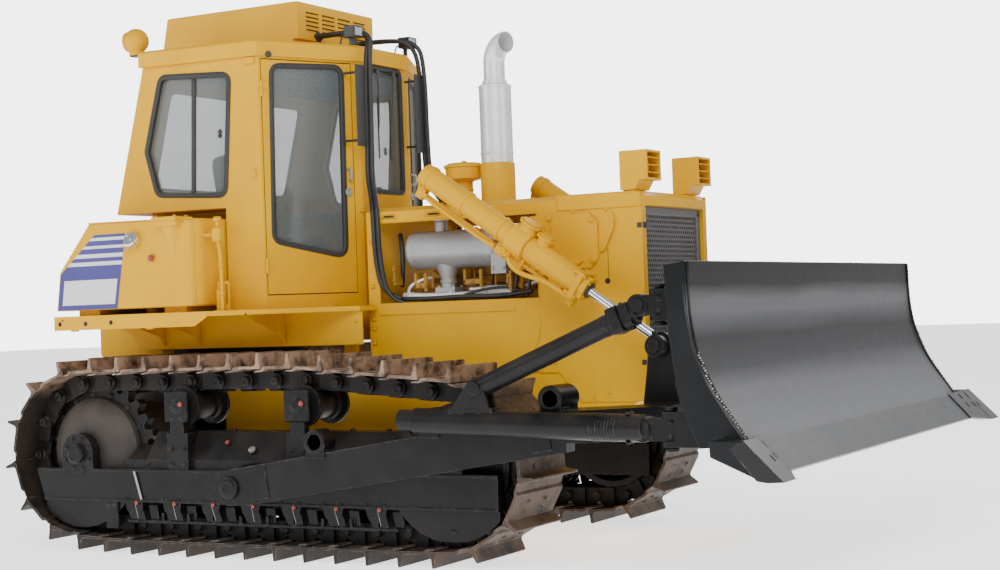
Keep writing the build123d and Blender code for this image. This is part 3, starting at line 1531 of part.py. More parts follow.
# each strut's front end: middle of the block, its length, height and width
strut_ends = ((1874, 750, 191, 110, 68), (1852, 1340, 155, 96, 68))
with BuildPart() as struts:
    for ends, radius, stub in ((lower_strut, lower_strut_radius, strut_stub), (upper_strut, upper_strut_radius, (0, 0))):
        plane, length = strut_axis_plane(ends)
        if stub[0]:
            with BuildSketch(plane):
                Circle(stub[1])
            extrude(amount=stub[0])
        with BuildSketch(plane.offset(stub[0])):
            Circle(radius)
        extrude(amount=length - stub[0])
    # clamp bands on the upper strut, next to the blade
    plane, length = strut_axis_plane(upper_strut)
    for back, thickness, size in ((132, 54, 132), (66, 44, 118)):
        with BuildSketch(plane.offset(length - back)):
            RectangleRounded(size, size, 20)
        extrude(amount=thickness)
    # saddle and cheek plates that carry the foot of the upper strut, and its pin
    with Locations((low_pin[0] - 30, -strut_y, 842)):
        Box(250, 96, 24)
    for side in (-1, 1):
        with BuildSketch(Plane.XZ.offset(strut_y + side * 38 - 9)):
            with BuildLine():
                Polyline(
                    (low_pin[0] - 150, 842),
                    (low_pin[0] + 78, 842),
                    (low_pin[0] + 46, low_pin[1] + 20),
                    (low_pin[0] - 40, low_pin[1] + 30),
                    close=True,
                )
            make_face()
            with Locations(low_pin):
                Circle(48)
        extrude(amount=18)
    with BuildSketch(Plane.XZ.offset(strut_y - 62)):
        with Locations(low_pin):
            Circle(34)
    extrude(amount=124)
    # pin that ties the lower strut to the middle ring of the arm
    ring_x, ring_z = ring_pins[1]
    with BuildSketch(Plane.XZ.offset(arm_inner - 6)):
        with Locations((ring_x, ring_z)):
            Circle(ring_bore - air)
    extrude(amount=strut_y - arm_inner + 6)
    # front ends with their cross pins, and the upright pins through the blade's lugs
    for x, z, length, height, width in strut_ends:
        with Locations((x, -strut_y, z)):
            Box(length, width, height)
            with Locations((-length / 2 + 20, 0, 0)):
                Cylinder(height / 2 + 6, width + 8, rotation=(90, 0, 0))
                Cylinder(height / 2 - 14, width + 34, rotation=(90, 0, 0))
            with Locations((length / 2 - strut_pin_radius - 8, 0, 0)):
                Cylinder(strut_pin_radius, height + 2 * lug_thickness + 30)
                for side in (-1, 1):
                    with Locations((0, 0, side * (height / 2 + lug_thickness + 15))):
                        Cylinder(strut_pin_radius + 9, 14)
    mirror(about=Plane.XZ)
struts.part.label = "struts"
export_step(struts.part, "parts/struts.step")

# Blade: curved moldboard with boxed back, ribs and end plates
# outlines as steps forwards and up from the front face at the top edge
front_curve = [(3, -186), (25, -365), (97, -558), (215, -735), (267, -808)]
back_curve = [(moldboard_skin + dx, dz) for dx, dz in ((-44, -186), (-21, -370), (53, -568), (173, -748), (221, -824))]
plate_back = [(0, 0), (-103, -10), (-91, -330), (-47, -630), (38, -839), (243, -824), (267, -808)]
upper_beam = [(-17, -8), (-95, -18), (-93, -200), (-17, -230)]
lower_beam = [(63, -530), (-69, -540), (-47, -630), (38, -830), (243, -818)]
rib = [(-18, -190), (-88, -196), (-66, -545), (60, -535), (2, -372)]
edge_outline = [(267, -808), (243, -824), (365, -963), (393, -947)]
end_bit_outline = [(310, -788), (243, -824), (365, -963), (413, -970), (489, -966)]
rib_ys = (430, 860, 1290)


def on_blade(points):
    return [(blade_x + dx, blade_top + dz) for dx, dz in points]


with BuildPart() as blade:
    with BuildSketch(Plane.XZ.offset(-blade_half)):
        with BuildLine():
            Polyline(*on_blade([front_curve[0], (0, 0), (-moldboard_skin, 0), back_curve[0]]))
            Spline(*on_blade(back_curve))
            Line(*on_blade([back_curve[-1], front_curve[-1]]))
            Spline(*on_blade(front_curve[::-1]))
        make_face()
    extrude(amount=2 * blade_half)
    with BuildSketch(Plane.XZ.offset(blade_half - end_plate)):
        with BuildLine():
            Polyline(*on_blade(plate_back))
            Spline(*on_blade(front_curve[::-1]))
            Line(*on_blade([front_curve[0], (0, 0)]))
        make_face()
    extrude(amount=end_plate)
    # box beams along the back, joined by ribs
    with BuildSketch(Plane.XZ.offset(-blade_half)):
        for outline in (upper_beam, lower_beam):
            with BuildLine():
                Polyline(*on_blade(outline), close=True)
            make_face()
    extrude(amount=blade_half)
    with BuildSketch(Plane.XZ.offset(blade_half - 60)):
        with Locations(*on_blade([(-45, -62)])):
            Circle(14)
    extrude(amount=61, mode=Mode.SUBTRACT)
    for y in rib_ys:
        with BuildSketch(Plane.XZ.offset(y - 9)):
            with BuildLine():
                Polyline(*on_blade(rib), close=True)
            make_face()
        extrude(amount=18)
    # lugs above and below each strut end, with holes for its upright pin, and the socket of the middle ball
    for (x, z, length, height, width), reach in zip(strut_ends, (23, -50)):
        pin_x = x + length / 2 - strut_pin_radius - 8
        for side in (-1, 1):
            with BuildSketch(Plane.XY.offset(z + side * (height / 2 + lug_thickness / 2 + 0.5) - lug_thickness / 2)):
                with Locations((pin_x, -strut_y)):
                    Circle(48)
                with Locations(((pin_x + blade_x - 60) / 2, -strut_y)):
                    Rectangle(blade_x - 60 - pin_x, 96)
                with Locations((pin_x, -strut_y)):
                    Circle(strut_pin_radius + running, mode=Mode.SUBTRACT)
            extrude(amount=lug_thickness)
        with Locations(((x + length / 2 + 4 + blade_x + reach) / 2, -strut_y, z)):
            Box(blade_x + reach - x - length / 2 - 4, 96, height + 2 * lug_thickness)
    with Locations((blade_x - 117, 0, 800)):
        Box(200, 180, 150)
    mirror(about=Plane.XZ)
blade.part.label = "blade"
export_step(blade.part, "parts/blade.step")
with BuildPart() as cutting_edges:
    with BuildSketch(Plane.XZ.offset(-end_bit_half)):
        with BuildLine():
            Polyline(*on_blade(edge_outline), close=True)
        make_face()
    extrude(amount=2 * end_bit_half)
    for side in (blade_half, -end_bit_half):
        with BuildSketch(Plane.XZ.offset(side)):
            with BuildLine():
                Polyline(*on_blade(end_bit_outline), close=True)
            make_face()
        extrude(amount=end_bit_half - blade_half)
cutting_edges.part.label = "cutting_edges"
export_step(cutting_edges.part, "parts/cutting_edges.step")
print("blade")
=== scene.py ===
import math

import bmesh
import bpy
from mathutils import Matrix, Vector


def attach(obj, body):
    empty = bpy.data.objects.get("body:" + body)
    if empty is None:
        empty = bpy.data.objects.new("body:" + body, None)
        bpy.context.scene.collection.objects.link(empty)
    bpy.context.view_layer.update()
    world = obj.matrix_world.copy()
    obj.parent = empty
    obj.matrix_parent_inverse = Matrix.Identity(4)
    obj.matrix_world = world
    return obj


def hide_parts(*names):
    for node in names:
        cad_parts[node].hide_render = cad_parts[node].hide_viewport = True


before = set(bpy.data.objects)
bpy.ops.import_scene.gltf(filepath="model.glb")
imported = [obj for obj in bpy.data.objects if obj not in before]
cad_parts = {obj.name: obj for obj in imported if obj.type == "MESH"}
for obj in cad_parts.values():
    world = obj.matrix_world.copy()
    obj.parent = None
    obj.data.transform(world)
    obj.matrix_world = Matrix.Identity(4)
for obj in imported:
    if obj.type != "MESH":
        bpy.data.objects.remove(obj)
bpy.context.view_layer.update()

print("frame loaded", len(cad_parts), "nodes")


def newObject(name, data):
    item = bpy.data.objects.new(name, data)
    bpy.context.scene.collection.objects.link(item)
    return item


def setSockets(tree, node, values):
    # an output is linked to its socket, a number or colour set on it, and the rest are settings of the node
    for key, value in values.items():
        if isinstance(key, str) and key not in node.inputs:
            setattr(node, key, value)
        elif isinstance(value, bpy.types.NodeSocket):
            tree.links.new(value, node.inputs[key])
        else:
            isColour = node.inputs[key].type == "RGBA"
            node.inputs[key].default_value = (*value, 1) if isColour else value


def addNode(tree, kind, sockets=(), **values):
    node = tree.nodes.new("ShaderNode" + kind)
    setSockets(tree, node, {**values, **dict(sockets)})
    return node


def ranged(tree, value, low, high, to=1.0, start=0.0):
    sockets = {"From Min": low, "From Max": high, "To Min": start, "To Max": to}
    return addNode(tree, "MapRange", sockets, Value=value).outputs[0]


def maths(tree, operation, *values, clamp=False):
    return addNode(tree, "Math", enumerate(values), operation=operation, use_clamp=clamp).outputs[0]


def mixColours(tree, share, first, second):
    return addNode(tree, "Mix", {0: share, 6: first, 7: second}, data_type="RGBA").outputs[2]


def noise(tree, place, scale, detail, rough=0.5):
    return addNode(tree, "TexNoise", Vector=place, Scale=scale, Detail=detail, Roughness=rough).outputs["Fac"]


def axesOf(tree, vector):
    return addNode(tree, "SeparateXYZ", {0: vector}).outputs


def normalOf(tree):
    return addNode(tree, "NewGeometry").outputs["Normal"]


def newMaterial(name):
    material = bpy.data.materials.new(name)
    material.use_nodes = True
    return material, material.node_tree, material.node_tree.nodes["Principled BSDF"]


# camera at the photograph's place and angle
view = {"place": (5.29, -9.04, 1.36), "azimuth": 29.09, "pitch": -0.69, "roll": -2.10, "lens": 63.28}


def aimCamera():
    turn, pitch, roll = (math.radians(view[k]) for k in ("azimuth", "pitch", "roll"))
    ahead = Vector((-math.sin(turn) * math.cos(pitch), math.cos(turn) * math.cos(pitch), -math.sin(pitch)))
    right = Vector((math.cos(turn), math.sin(turn), 0))
    up = right.cross(ahead)
    camera = newObject("photoCamera", bpy.data.cameras.new("photoCamera"))
    camera.data.lens = view["lens"]
    camera.data.sensor_width = 36
    camera.data.clip_end = 200
    axes = (math.cos(roll) * right + math.sin(roll) * up, math.cos(roll) * up - math.sin(roll) * right, -ahead)
    camera.matrix_world = Matrix(axes).transposed().to_4x4()
    camera.location = view["place"]
    bpy.context.scene.camera = camera


# soft studio: lamps as place, aim, size and power; the backdrop is seen brighter than it lights
studio = {
    "keyLamp": ((4.5, -8.5, 7.5), (0, 0, 1.2), (6, 5), 740),
    "fillLamp": ((-7.0, -6.5, 4.5), (0, 0, 1.2), (5, 4), 200),
    "frontLamp": ((10.0, -1.0, 3.5), (1.5, 0, 1.2), (3, 5), 105),
    "backLamp": ((1.5, 8.5, 7.0), (0, 0, 1.5), (6, 4), 260),
}
backdrop = {"sky": (0.97, 0.98, 1), "lights": 0.48, "seen": 5.0, "floor": (0.92, 0.92, 0.92), "glow": 1.6,
            "reach": 60}


def lightStudio():
    for name, (place, aim, size, power) in studio.items():
        lamp = newObject(name, bpy.data.lights.new(name, "AREA"))
        lamp.data.energy = power
        lamp.data.shape = "RECTANGLE"
        lamp.data.size, lamp.data.size_y = size
        lamp.location = place
        lamp.rotation_euler = (Vector(aim) - Vector(place)).to_track_quat("-Z", "Y").to_euler()
    world = bpy.data.worlds.new("paleWorld")
    world.use_nodes = True
    tree = world.node_tree
    seen = addNode(tree, "LightPath").outputs["Is Camera Ray"]
    strength = ranged(tree, seen, 0, 1, backdrop["seen"], backdrop["lights"])
    setSockets(tree, tree.nodes["Background"], {"Color": backdrop["sky"], "Strength": strength})
    bpy.context.scene.world = world
    mesh = bpy.data.meshes.new("studioFloor")
    reach = backdrop["reach"]
    corners = [(-reach, -reach, 0), (reach, -reach, 0), (reach, reach, 0), (-reach, reach, 0)]
    mesh.from_pydata(corners, [], [(0, 1, 2, 3)])
    floor = newObject("studioFloor", mesh)
    finish, tree, shader = newMaterial("floorWhite")
    setSockets(tree, shader, {"Base Color": backdrop["floor"], "Roughness": 0.9, "Emission Color": (1, 1, 1),
                              "Emission Strength": backdrop["glow"]})
    mesh.materials.append(finish)


aimCamera()
lightStudio()
print("camera and studio")

# finishes: grain in sizes a metre and its depth in metres, dust on upward faces and its colour (on the final
# drives also a painted highlight on their tops), worn edges and their colour
lookNames = ("slot", "colour", "patch", "rough", "metal", "coat", "grain", "depth", "dustAndSheen", "dustAndSheenColour",
             "worn", "wornColour", "specular")
finishes = {
    "yellowPaint": ("yellow_paint", (0.73, 0.388, 0), (0.67, 0.33, 0), 0.36, 0, 0.04, 40, 0.0004, 0.06,
                    (0.5, 0.34, 0.12), 0.12, (0.3, 0.15, 0.02), 0.12),
    "frameBlack": ("frame_black", (0.0035, 0.0035, 0.004), (0.008, 0.0075, 0.008), 0.36, 0, 0, 30, 0.0012, 0.5,
                   (0.075, 0.06, 0.048), 0.45, (0.16, 0.15, 0.145), 0.2),
    "shoeSteel": ("track_steel", (0.01, 0.009, 0.008), (0.03, 0.019, 0.014), 0.55, 0, 0, 22, 0.003, 0.8,
                  (0.13, 0.095, 0.07), 0.7, (0.34, 0.3, 0.27), 0.25),
    "linkSteel": ("track_steel", (0.005, 0.005, 0.005), (0.011, 0.01, 0.009), 0.45, 0, 0, 26, 0.002, 0.35,
                  (0.16, 0.12, 0.09), 0.4, (0.2, 0.19, 0.18), 0.2),
    "wheelIron": ("wheel_iron", (0.007, 0.007, 0.007), (0.016, 0.014, 0.013), 0.42, 0.1, 0, 24, 0.0015, 0.3,
                  (0.13, 0.105, 0.085), 0.35, (0.26, 0.25, 0.24), 0.2),
    # the final drives' dust is partly real dust and partly a painted highlight on the tops of the domes
    "driveGrey": ("drive_grey", (0.06, 0.05, 0.042), (0.03, 0.026, 0.024), 0.6, 0, 0, 16, 0.003, 0.5,
                  (0.15, 0.118, 0.09), 0.4, (0.3, 0.31, 0.34), 0.3),
    "bladeBlack": ("blade_black", (0.008, 0.009, 0.01), (0.014, 0.015, 0.016), 0.33, 0, 0, 9, 0.0006, 0.06,
                   (0.14, 0.13, 0.12), 0.2, (0.2, 0.2, 0.2), 0.12),
    "edgeSteel": ("edge_steel", (0.135, 0.14, 0.146), (0.165, 0.165, 0.165), 0.42, 0.1, 0, 30, 0.001, 0.15,
                  (0.2, 0.17, 0.14), 0.5, (0.4, 0.4, 0.4), 0.35),
    "rodChrome": ("rod_chrome", (0.8, 0.82, 0.84), (0.74, 0.76, 0.78), 0.1, 1, 0, 60, 0.0001),
    "enginePaint": ("engine_paint", (0.62, 0.3, 0.004), (0.16, 0.08, 0.016), 0.55, 0, 0, 20, 0.002, 0.45,
                    (0.13, 0.095, 0.06), 0.2, (0.3, 0.25, 0.2)),
    "mufflerGrey": ("muffler_grey", (0.42, 0.43, 0.44), (0.3, 0.3, 0.31), 0.42, 0.4, 0, 50, 0.0008, 0.3,
                    (0.42, 0.38, 0.33), 0.1, (0.3, 0.28, 0.26)),
    "stackSilver": ("stack_silver", (0.88, 0.89, 0.9), (0.76, 0.77, 0.78), 0.33, 0.45, 0, 50, 0.0006, 0.05,
                    (0.5, 0.48, 0.45), 0.1, (0.4, 0.38, 0.36)),
    "grilleGrey": ("grille_grey", (0.125, 0.118, 0.118), (0.1, 0.094, 0.093), 0.48, 0.2, 0, 50, 0.0004, 0.25,
                   (0.24, 0.21, 0.18), 0.3, (0.3, 0.29, 0.28)),
    "radiatorBlackAndShade": ("radiator_black", (0.01, 0.01, 0.01), (0.016, 0.016, 0.016), 0.8, 0, 0, 200, 0.002, 0.1,
                      (0.04, 0.036, 0.03)),
    "seatVinyl": ("seat_cover", (0.032, 0.033, 0.036), (0.045, 0.045, 0.047), 0.55, 0, 0, 320, 0.0006, 0.1,
                  (0.15, 0.14, 0.12)),
    "consoleGrey": ("console_grey", (0.06, 0.06, 0.064), (0.085, 0.085, 0.087), 0.6, 0, 0, 200, 0.0005, 0.2,
                    (0.2, 0.18, 0.16)),
    "hoseRubber": ("hose_rubber", (0.012, 0.012, 0.013), (0.024, 0.024, 0.024), 0.5, 0, 0, 120, 0.0006, 0.12,
                   (0.1, 0.09, 0.08)),
    "gasketRubber": ("hose_rubber", (0.018, 0.018, 0.019), (0.03, 0.029, 0.028), 0.6, 0, 0, 90, 0.0005, 0.25,
                     (0.16, 0.145, 0.125)),
    "lampBlack": ("lamp_black", (0.022, 0.022, 0.023), (0.036, 0.036, 0.036), 0.4, 0, 0, 120, 0.0004, 0.1,
                  (0.16, 0.14, 0.12), 0.1, (0.15, 0.15, 0.15)),
    "lensClear": ("lamp_black", (0.62, 0.64, 0.66), (0.5, 0.52, 0.54), 0.12, 0.6, 0.6, 160, 0.0008, 0.05,
                  (0.5, 0.48, 0.45)),
    "plugRed": ("frame_black", (0.34, 0.035, 0.022), (0.22, 0.03, 0.02), 0.5, 0, 0, 120, 0.0004, 0.25,
                (0.25, 0.18, 0.14), 0.2, (0.2, 0.1, 0.08)),
    "paleMetal": ("frame_black", (0.38, 0.36, 0.33), (0.25, 0.235, 0.215), 0.5, 0.5, 0, 80, 0.0006, 0.3,
                  (0.32, 0.28, 0.23), 0.4, (0.5, 0.48, 0.46)),
    "stripeBlue": ("yellow_paint", (0.045, 0.04, 0.22), (0.038, 0.034, 0.18), 0.3, 0, 0.3, 60, 0.0001, 0.1,
                   (0.3, 0.3, 0.3)),
    "stripeWhite": ("yellow_paint", (0.72, 0.73, 0.72), (0.63, 0.64, 0.63), 0.3, 0, 0.3, 60, 0.0001, 0.15,
                    (0.5, 0.46, 0.4)),
}
# the blade's face, darker and lighter bands by height: painted reflections over a lighter soil-scoured lower
# part; heights between which these tones lie, their waviness, and the tones from the edge upwards
scourReflectionsAndEnds = {"end": (0.010, 0.010, 0.011), "low": 0.56, "high": 1.53, "wave": 0.07,
           "bands": [(0.0, 0.13), (0.20, 0.19), (0.38, 0.15), (0.50, 0.060), (0.64, 0.038), (0.77, 0.100),
                     (0.82, 0.085), (0.89, 0.010)]}
# dried soil on the track shoes: metres over which it comes in, its share at the front, and overall
soil = {"z": (0.90, 1.02), "x": (0.15, 0.75), "front": 0.18, "share": 0.9, "colour": (0.33, 0.215, 0.145)}
glassLook = {"tint": (0.150, 0.175, 0.175), "rough": 0.03, "clear": 0.54}


# painted reflection bands down the blade's front, over a lighter soil-scoured lower part, on faces turned
# forward only
def bladeScourAndReflections(tree, place, colour):
    bandWobblePlace = addNode(tree, "Mapping", Vector=place, Scale=(1.0, 0.5, 5.0)).outputs[0]
    wave = maths(tree, "MULTIPLY", maths(tree, "SUBTRACT", noise(tree, bandWobblePlace, 2.2, 4), 0.5), scourReflectionsAndEnds["wave"])
    height = maths(tree, "ADD", axesOf(tree, place)["Z"], wave)
    ramp = addNode(tree, "ValToRGB", Fac=ranged(tree, height, scourReflectionsAndEnds["low"], scourReflectionsAndEnds["high"]))
    elements = ramp.color_ramp.elements
    while len(elements) < len(scourReflectionsAndEnds["bands"]):
        elements.new(0.5)
    for element, (share, tone) in zip(elements, scourReflectionsAndEnds["bands"]):
        element.position = share
        element.color = (tone, tone * 1.01, tone * 1.04, 1)
    front = ranged(tree, axesOf(tree, normalOf(tree))["X"], 0.30, 0.75)
    return mixColours(tree, front, colour, ramp.outputs["Color"])


def driedSoil(tree, place, colour):
    where = axesOf(tree, place)
    ahead = ranged(tree, where["X"], *soil["x"], soil["front"])
    amount = maths(tree, "ADD", ranged(tree, where["Z"], *soil["z"]), ahead, clamp=True)
    amount = maths(tree, "MULTIPLY", amount, ranged(tree, noise(tree, place, 9, 8, 0.65), 0.36, 0.56))
    return mixColours(tree, maths(tree, "MULTIPLY", amount, soil["share"]), colour, soil["colour"])


def makeFinish(name, values):
    look = {"dustAndSheen": 0, "worn": 0, "specular": 0.5, **dict(zip(lookNames, values))}
    material, tree, shader = newMaterial(name)
    place = addNode(tree, "TexCoord").outputs["Object"]
    fine = noise(tree, place, look["grain"], 4)
    patches = ranged(tree, noise(tree, place, 2.3, 5, 0.6), 0.35, 0.70)
    colour = mixColours(tree, patches, look["colour"], look["patch"])
    # dust on upward faces; on the final drives it also paints the highlight on their tops
    if look["dustAndSheen"]:
        laid = ranged(tree, axesOf(tree, normalOf(tree))["Z"], 0.15, 0.95)
        share = maths(tree, "MULTIPLY", maths(tree, "ADD", maths(tree, "MULTIPLY", laid, 0.8), 0.2),
                      ranged(tree, noise(tree, place, 6, 6), 0.30, 0.75))
        colour = mixColours(tree, maths(tree, "MULTIPLY", share, look["dustAndSheen"]), colour, look["dustAndSheenColour"])
    # the blade's front: painted reflection bands and its lighter scoured lower part
    if name == "bladeBlack":
        colour = bladeScourAndReflections(tree, place, colour)
    if name == "edgeSteel":
        # the ends of the bits keep their black paint
        sideways = maths(tree, "ABSOLUTE", axesOf(tree, normalOf(tree))["Y"])
        colour = mixColours(tree, ranged(tree, sideways, 0.5, 0.8), colour, scourReflectionsAndEnds["end"])
    if name == "shoeSteel":
        colour = driedSoil(tree, place, colour)
    if look["worn"]:
        soft = addNode(tree, "Bevel", samples=4, Radius=0.006).outputs[0]
        same = addNode(tree, "VectorMath", {0: soft, 1: normalOf(tree)}, operation="DOT_PRODUCT")
        edge = ranged(tree, same.outputs["Value"], 0.995, 0.90)
        edge = maths(tree, "MULTIPLY", edge, ranged(tree, fine, 0.45, 0.62, look["worn"]))
        colour = mixColours(tree, edge, colour, look["wornColour"])
    rounding = addNode(tree, "Bevel", samples=4, Radius=0.004).outputs[0]
    bump = addNode(tree, "Bump", Height=fine, Strength=0.35, Distance=look["depth"], Normal=rounding).outputs[0]
    setSockets(tree, shader, {
        "Base Color": colour, "Metallic": look["metal"], "Specular IOR Level": look["specular"],
        "Roughness": ranged(tree, fine, 0, 1, look["rough"] + 0.10, max(look["rough"] - 0.07, 0.02)),
        "Coat Weight": look["coat"], "Coat Roughness": 0.15, "Normal": bump})
    return material


def makeGlass():
    material, tree, shader = newMaterial("cabGlass")
    film = noise(tree, addNode(tree, "TexCoord").outputs["Object"], 3, 5)
    rough = ranged(tree, film, 0, 1, glassLook["rough"] + 0.10, glassLook["rough"])
    setSockets(tree, shader, {"Base Color": glassLook["tint"], "Roughness": rough,
                              "Alpha": 1 - glassLook["clear"], "IOR": 1.5})
    return material


materials = {name: makeFinish(name, look) for name, look in finishes.items()}
materials["cabGlass"] = makeGlass()
nodeFinishes = {
    "yellowPaint": "main_frame fender_right fender_left hydraulic_tank battery_box fuel_tank cab_body cab_roof "
                   "ac_unit hood nose headlamp_guards precleaner cylinder_supports door_right door_left "
                   "barrel_right barrel_left beacon",
    "frameBlack": "rear_case equalizer_bar track_frame_right track_frame_left c_frame struts",
    "shoeSteel": "track_right track_left", "wheelIron": "sprockets idlers track_rollers carrier_rollers",
    "driveGrey": "final_drives", "bladeBlack": "blade", "edgeSteel": "cutting_edges",
    "rodChrome": "rod_right rod_left", "enginePaint": "engine", "mufflerGrey": "muffler",
    "stackSilver": "exhaust_stack", "grilleGrey": "grille", "radiatorBlackAndShade": "radiator", "seatVinyl": "seat",
    "consoleGrey": "console", "hoseRubber": "ac_hoses", "lampBlack": "roof_lamps",
    "cabGlass": "cab_glass door_glass_right door_glass_left",
}
for finishName, nodeNames in nodeFinishes.items():
    for nodeName in nodeNames.split():
        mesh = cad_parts[nodeName].data
        mesh.materials.clear()
        mesh.materials.append(materials[finishName])
print("finishes")

# shapes are drawn in millimetres, in the machine's own frame, and gather in work until the piece is finished
work = [bmesh.new()]
xWay, yWay, zWay = Vector((1, 0, 0)), Vector((0, 1, 0)), Vector((0, 0, 1))
overY = Matrix.Diagonal((1, -1, 1, 1))


def loft(rings, caps=True, closed=False):
    shape = work[0]
    made = [[shape.verts.new(Vector(point)) for point in ring] for ring in rings]
    if closed:
        made.append(made[0])
    for first, second in zip(made, made[1:]):
        for k in range(len(first)):
            after = (k + 1) % len(first)
            shape.faces.new((first[k], first[after], second[after], second[k]))
    if caps and not closed:
        shape.faces.new(made[0][::-1])
        shape.faces.new(made[-1])


def across(axis):
    axis = Vector(axis).normalized()
    first = axis.cross(zWay) if abs(axis.z) < 0.9 else xWay.cross(axis)
    first.normalize()
    return first, axis.cross(first)


def circle(middle, first, second, radius, sides):
    angles = [2 * math.pi * k / sides for k in range(sides)]
    return [middle + (first * math.cos(a) + second * math.sin(a)) * radius for a in angles]


def turned(place, axis, profile, sides=24):
    # profile: steps along the axis and radii
    axis = Vector(axis).normalized()
    loft([circle(Vector(place) + axis * along, *across(axis), radius, sides) for along, radius in profile])


def rod(start, end, radius, sides=16):
    way = Vector(end) - Vector(start)
    edge = min(radius * 0.2, way.length * 0.2, 4)
    profile = [(0, radius - edge), (edge, radius), (way.length - edge, radius), (way.length, radius - edge)]
    turned(start, way, profile, sides)


def block(low, high, edge=3, turn=Matrix()):
    middle = (Vector(low) + Vector(high)) / 2
    size = Vector([abs(b - a) for a, b in zip(low, high)])
    place = Matrix.Translation(middle) @ turn @ Matrix.Diagonal((*size, 1))
    corners = bmesh.ops.create_cube(work[0], size=1, matrix=place)["verts"]
    if edge:
        edges = list({e for corner in corners for e in corner.link_edges})
        bmesh.ops.bevel(work[0], geom=edges, offset=min(edge, min(size) * 0.3), segments=1, affect="EDGES")


def cube(middle, size, edge=3, turn=Matrix()):
    middle, half = Vector(middle), Vector(size) / 2
    block(middle - half, middle + half, edge, turn)


def plate(outline, origin, right, up, thickness, edge=0):
    # flat outline on a plane through origin, thickened along right x up, with its far rim drawn in by edge
    origin, right, up = Vector(origin), Vector(right).normalized(), Vector(up).normalized()
    out = right.cross(up)
    levels = [(0, outline), (thickness - edge, outline)]
    if edge:
        levels.append((thickness, drawnIn(outline, edge)))
    loft([[origin + right * a + up * b + out * height for a, b in line] for height, line in levels])


def panel(outline, y, thickness):
    # plate on a wall of the left side, thickened outwards
    plate(outline, (0, y, 0), xWay, zWay, -thickness)


def drawnIn(outline, distance):
    # each point moved towards the inside, square to its two sides
    turn = sum(a[0] * b[1] - b[0] * a[1] for a, b in zip(outline, outline[1:] + outline[:1]))
    sign = 1 if turn > 0 else -1
    moved = []
    for k, here in enumerate(outline):
        here, before, after = Vector(here), Vector(outline[k - 1]), Vector(outline[(k + 1) % len(outline)])
        first, second = (here - before).normalized(), (after - here).normalized()
        normal = Vector((-first.y - second.y, first.x + second.x)) * sign
        square = Vector((-first.y, first.x)) * sign
        if normal.length < 1e-6:
            normal = square.copy()
        normal.normalize()
        moved.append(tuple(here + normal * distance / max(0.35, normal.dot(square))))
    return moved


def rounded(corners, radius, steps=5):
    points = []
    for k, here in enumerate(corners):
        here = Vector(here)
        before, after = Vector(corners[k - 1]) - here, Vector(corners[(k + 1) % len(corners)]) - here
        reach = min(radius / math.tan(before.angle(after) / 2), before.length * 0.48, after.length * 0.48)
        start, end = here + before.normalized() * reach, here + after.normalized() * reach
        for n in range(steps + 1):
            t = n / steps
            points.append(tuple(start * (1 - t) ** 2 + here * 2 * t * (1 - t) + end * t * t))
    return points


def oblong(a, b, wide, tall):
    # rectangle round a point, by its half width and height
    return [(a - wide, b - tall), (a + wide, b - tall), (a + wide, b + tall), (a - wide, b + tall)]


def rim(outline, origin, right, up, section):
    # closed bead along an outline; section: how far inside the outline and how far out of the plane
    origin, right, up = Vector(origin), Vector(right).normalized(), Vector(up).normalized()
    out = right.cross(up)
    lines = [[origin + right * a + up * b + out * height for a, b in drawnIn(outline, inside)]
             for inside, height in section]
    loft(list(zip(*lines)), closed=True)


def pipe(points, radius, sides=10):
    # bent pipe: the corners are cut until the line is smooth
    line = [Vector(p) for p in points]
    for _ in range(3):
        cut = [line[0]]
        for a, b in zip(line, line[1:]):
            cut += [a * 0.75 + b * 0.25, a * 0.25 + b * 0.75]
        line = cut + [line[-1]]
    first = across(line[1] - line[0])[0]
    rings = []
    for k, here in enumerate(line):
        along = (line[min(k + 1, len(line) - 1)] - line[max(k - 1, 0)]).normalized()
        first = (first - along * first.dot(along)).normalized()
        rings.append(circle(here, first, along.cross(first), radius, sides))
    loft(rings)


def bolt(place, axis, size=9):
    turned(place, axis, [(-1, size * 1.45), (size * 0.3, size * 1.45), (size * 0.35, size * 1.3)], 14)
    turned(place, axis, [(size * 0.3, size), (size * 0.95, size), (size * 1.1, size * 0.8)], 6)


def wallBolts(y, size, spots):
    for x, z in spots:
        bolt((x, y, z), yWay, size)


def ring(count, radius, shift=0.5):
    angles = [2 * math.pi * (k + shift) / count for k in range(count)]
    return [(radius * math.cos(a), radius * math.sin(a)) for a in angles]


def bothSides():
    # adds the mirror image of what is drawn so far
    mesh = bpy.data.meshes.new("twin")
    work[0].to_mesh(mesh)
    mesh.transform(overY)
    work[0].from_mesh(mesh)
    bpy.data.meshes.remove(mesh)


def finishPiece(name, body, finish, crease=35, replaced=()):
    shape = work[0]
    work[0] = bmesh.new()
    bmesh.ops.recalc_face_normals(shape, faces=shape.faces)
    mesh = bpy.data.meshes.new(name)
    shape.to_mesh(mesh)
    shape.free()
    mesh.transform(Matrix.Scale(0.001, 4))
    mesh.shade_smooth()
    mesh.set_sharp_from_angle(angle=math.radians(crease))
    mesh.materials.append(materials[finish])
    piece = newObject(name, mesh)
    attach(piece, body)
    if replaced:
        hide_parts(*replaced)
    return piece


def finishPair(name, body, finish, crease=35):
    # the piece on the side where it is drawn, and its mirror image; a body with no side gets its own
    twin = work[0].copy()
    bmesh.ops.transform(twin, matrix=overY, verts=twin.verts)
    ways = ["Left", "Right"] if sum(vertex.co.y for vertex in twin.verts) < 0 else ["Right", "Left"]
    for way in ways:
        finishPiece(name + way, body + way.lower() if body.endswith("_") else body, finish, crease)
        work[0], twin = twin, work[0]


sides = (("Right", -1), ("Left", 1))

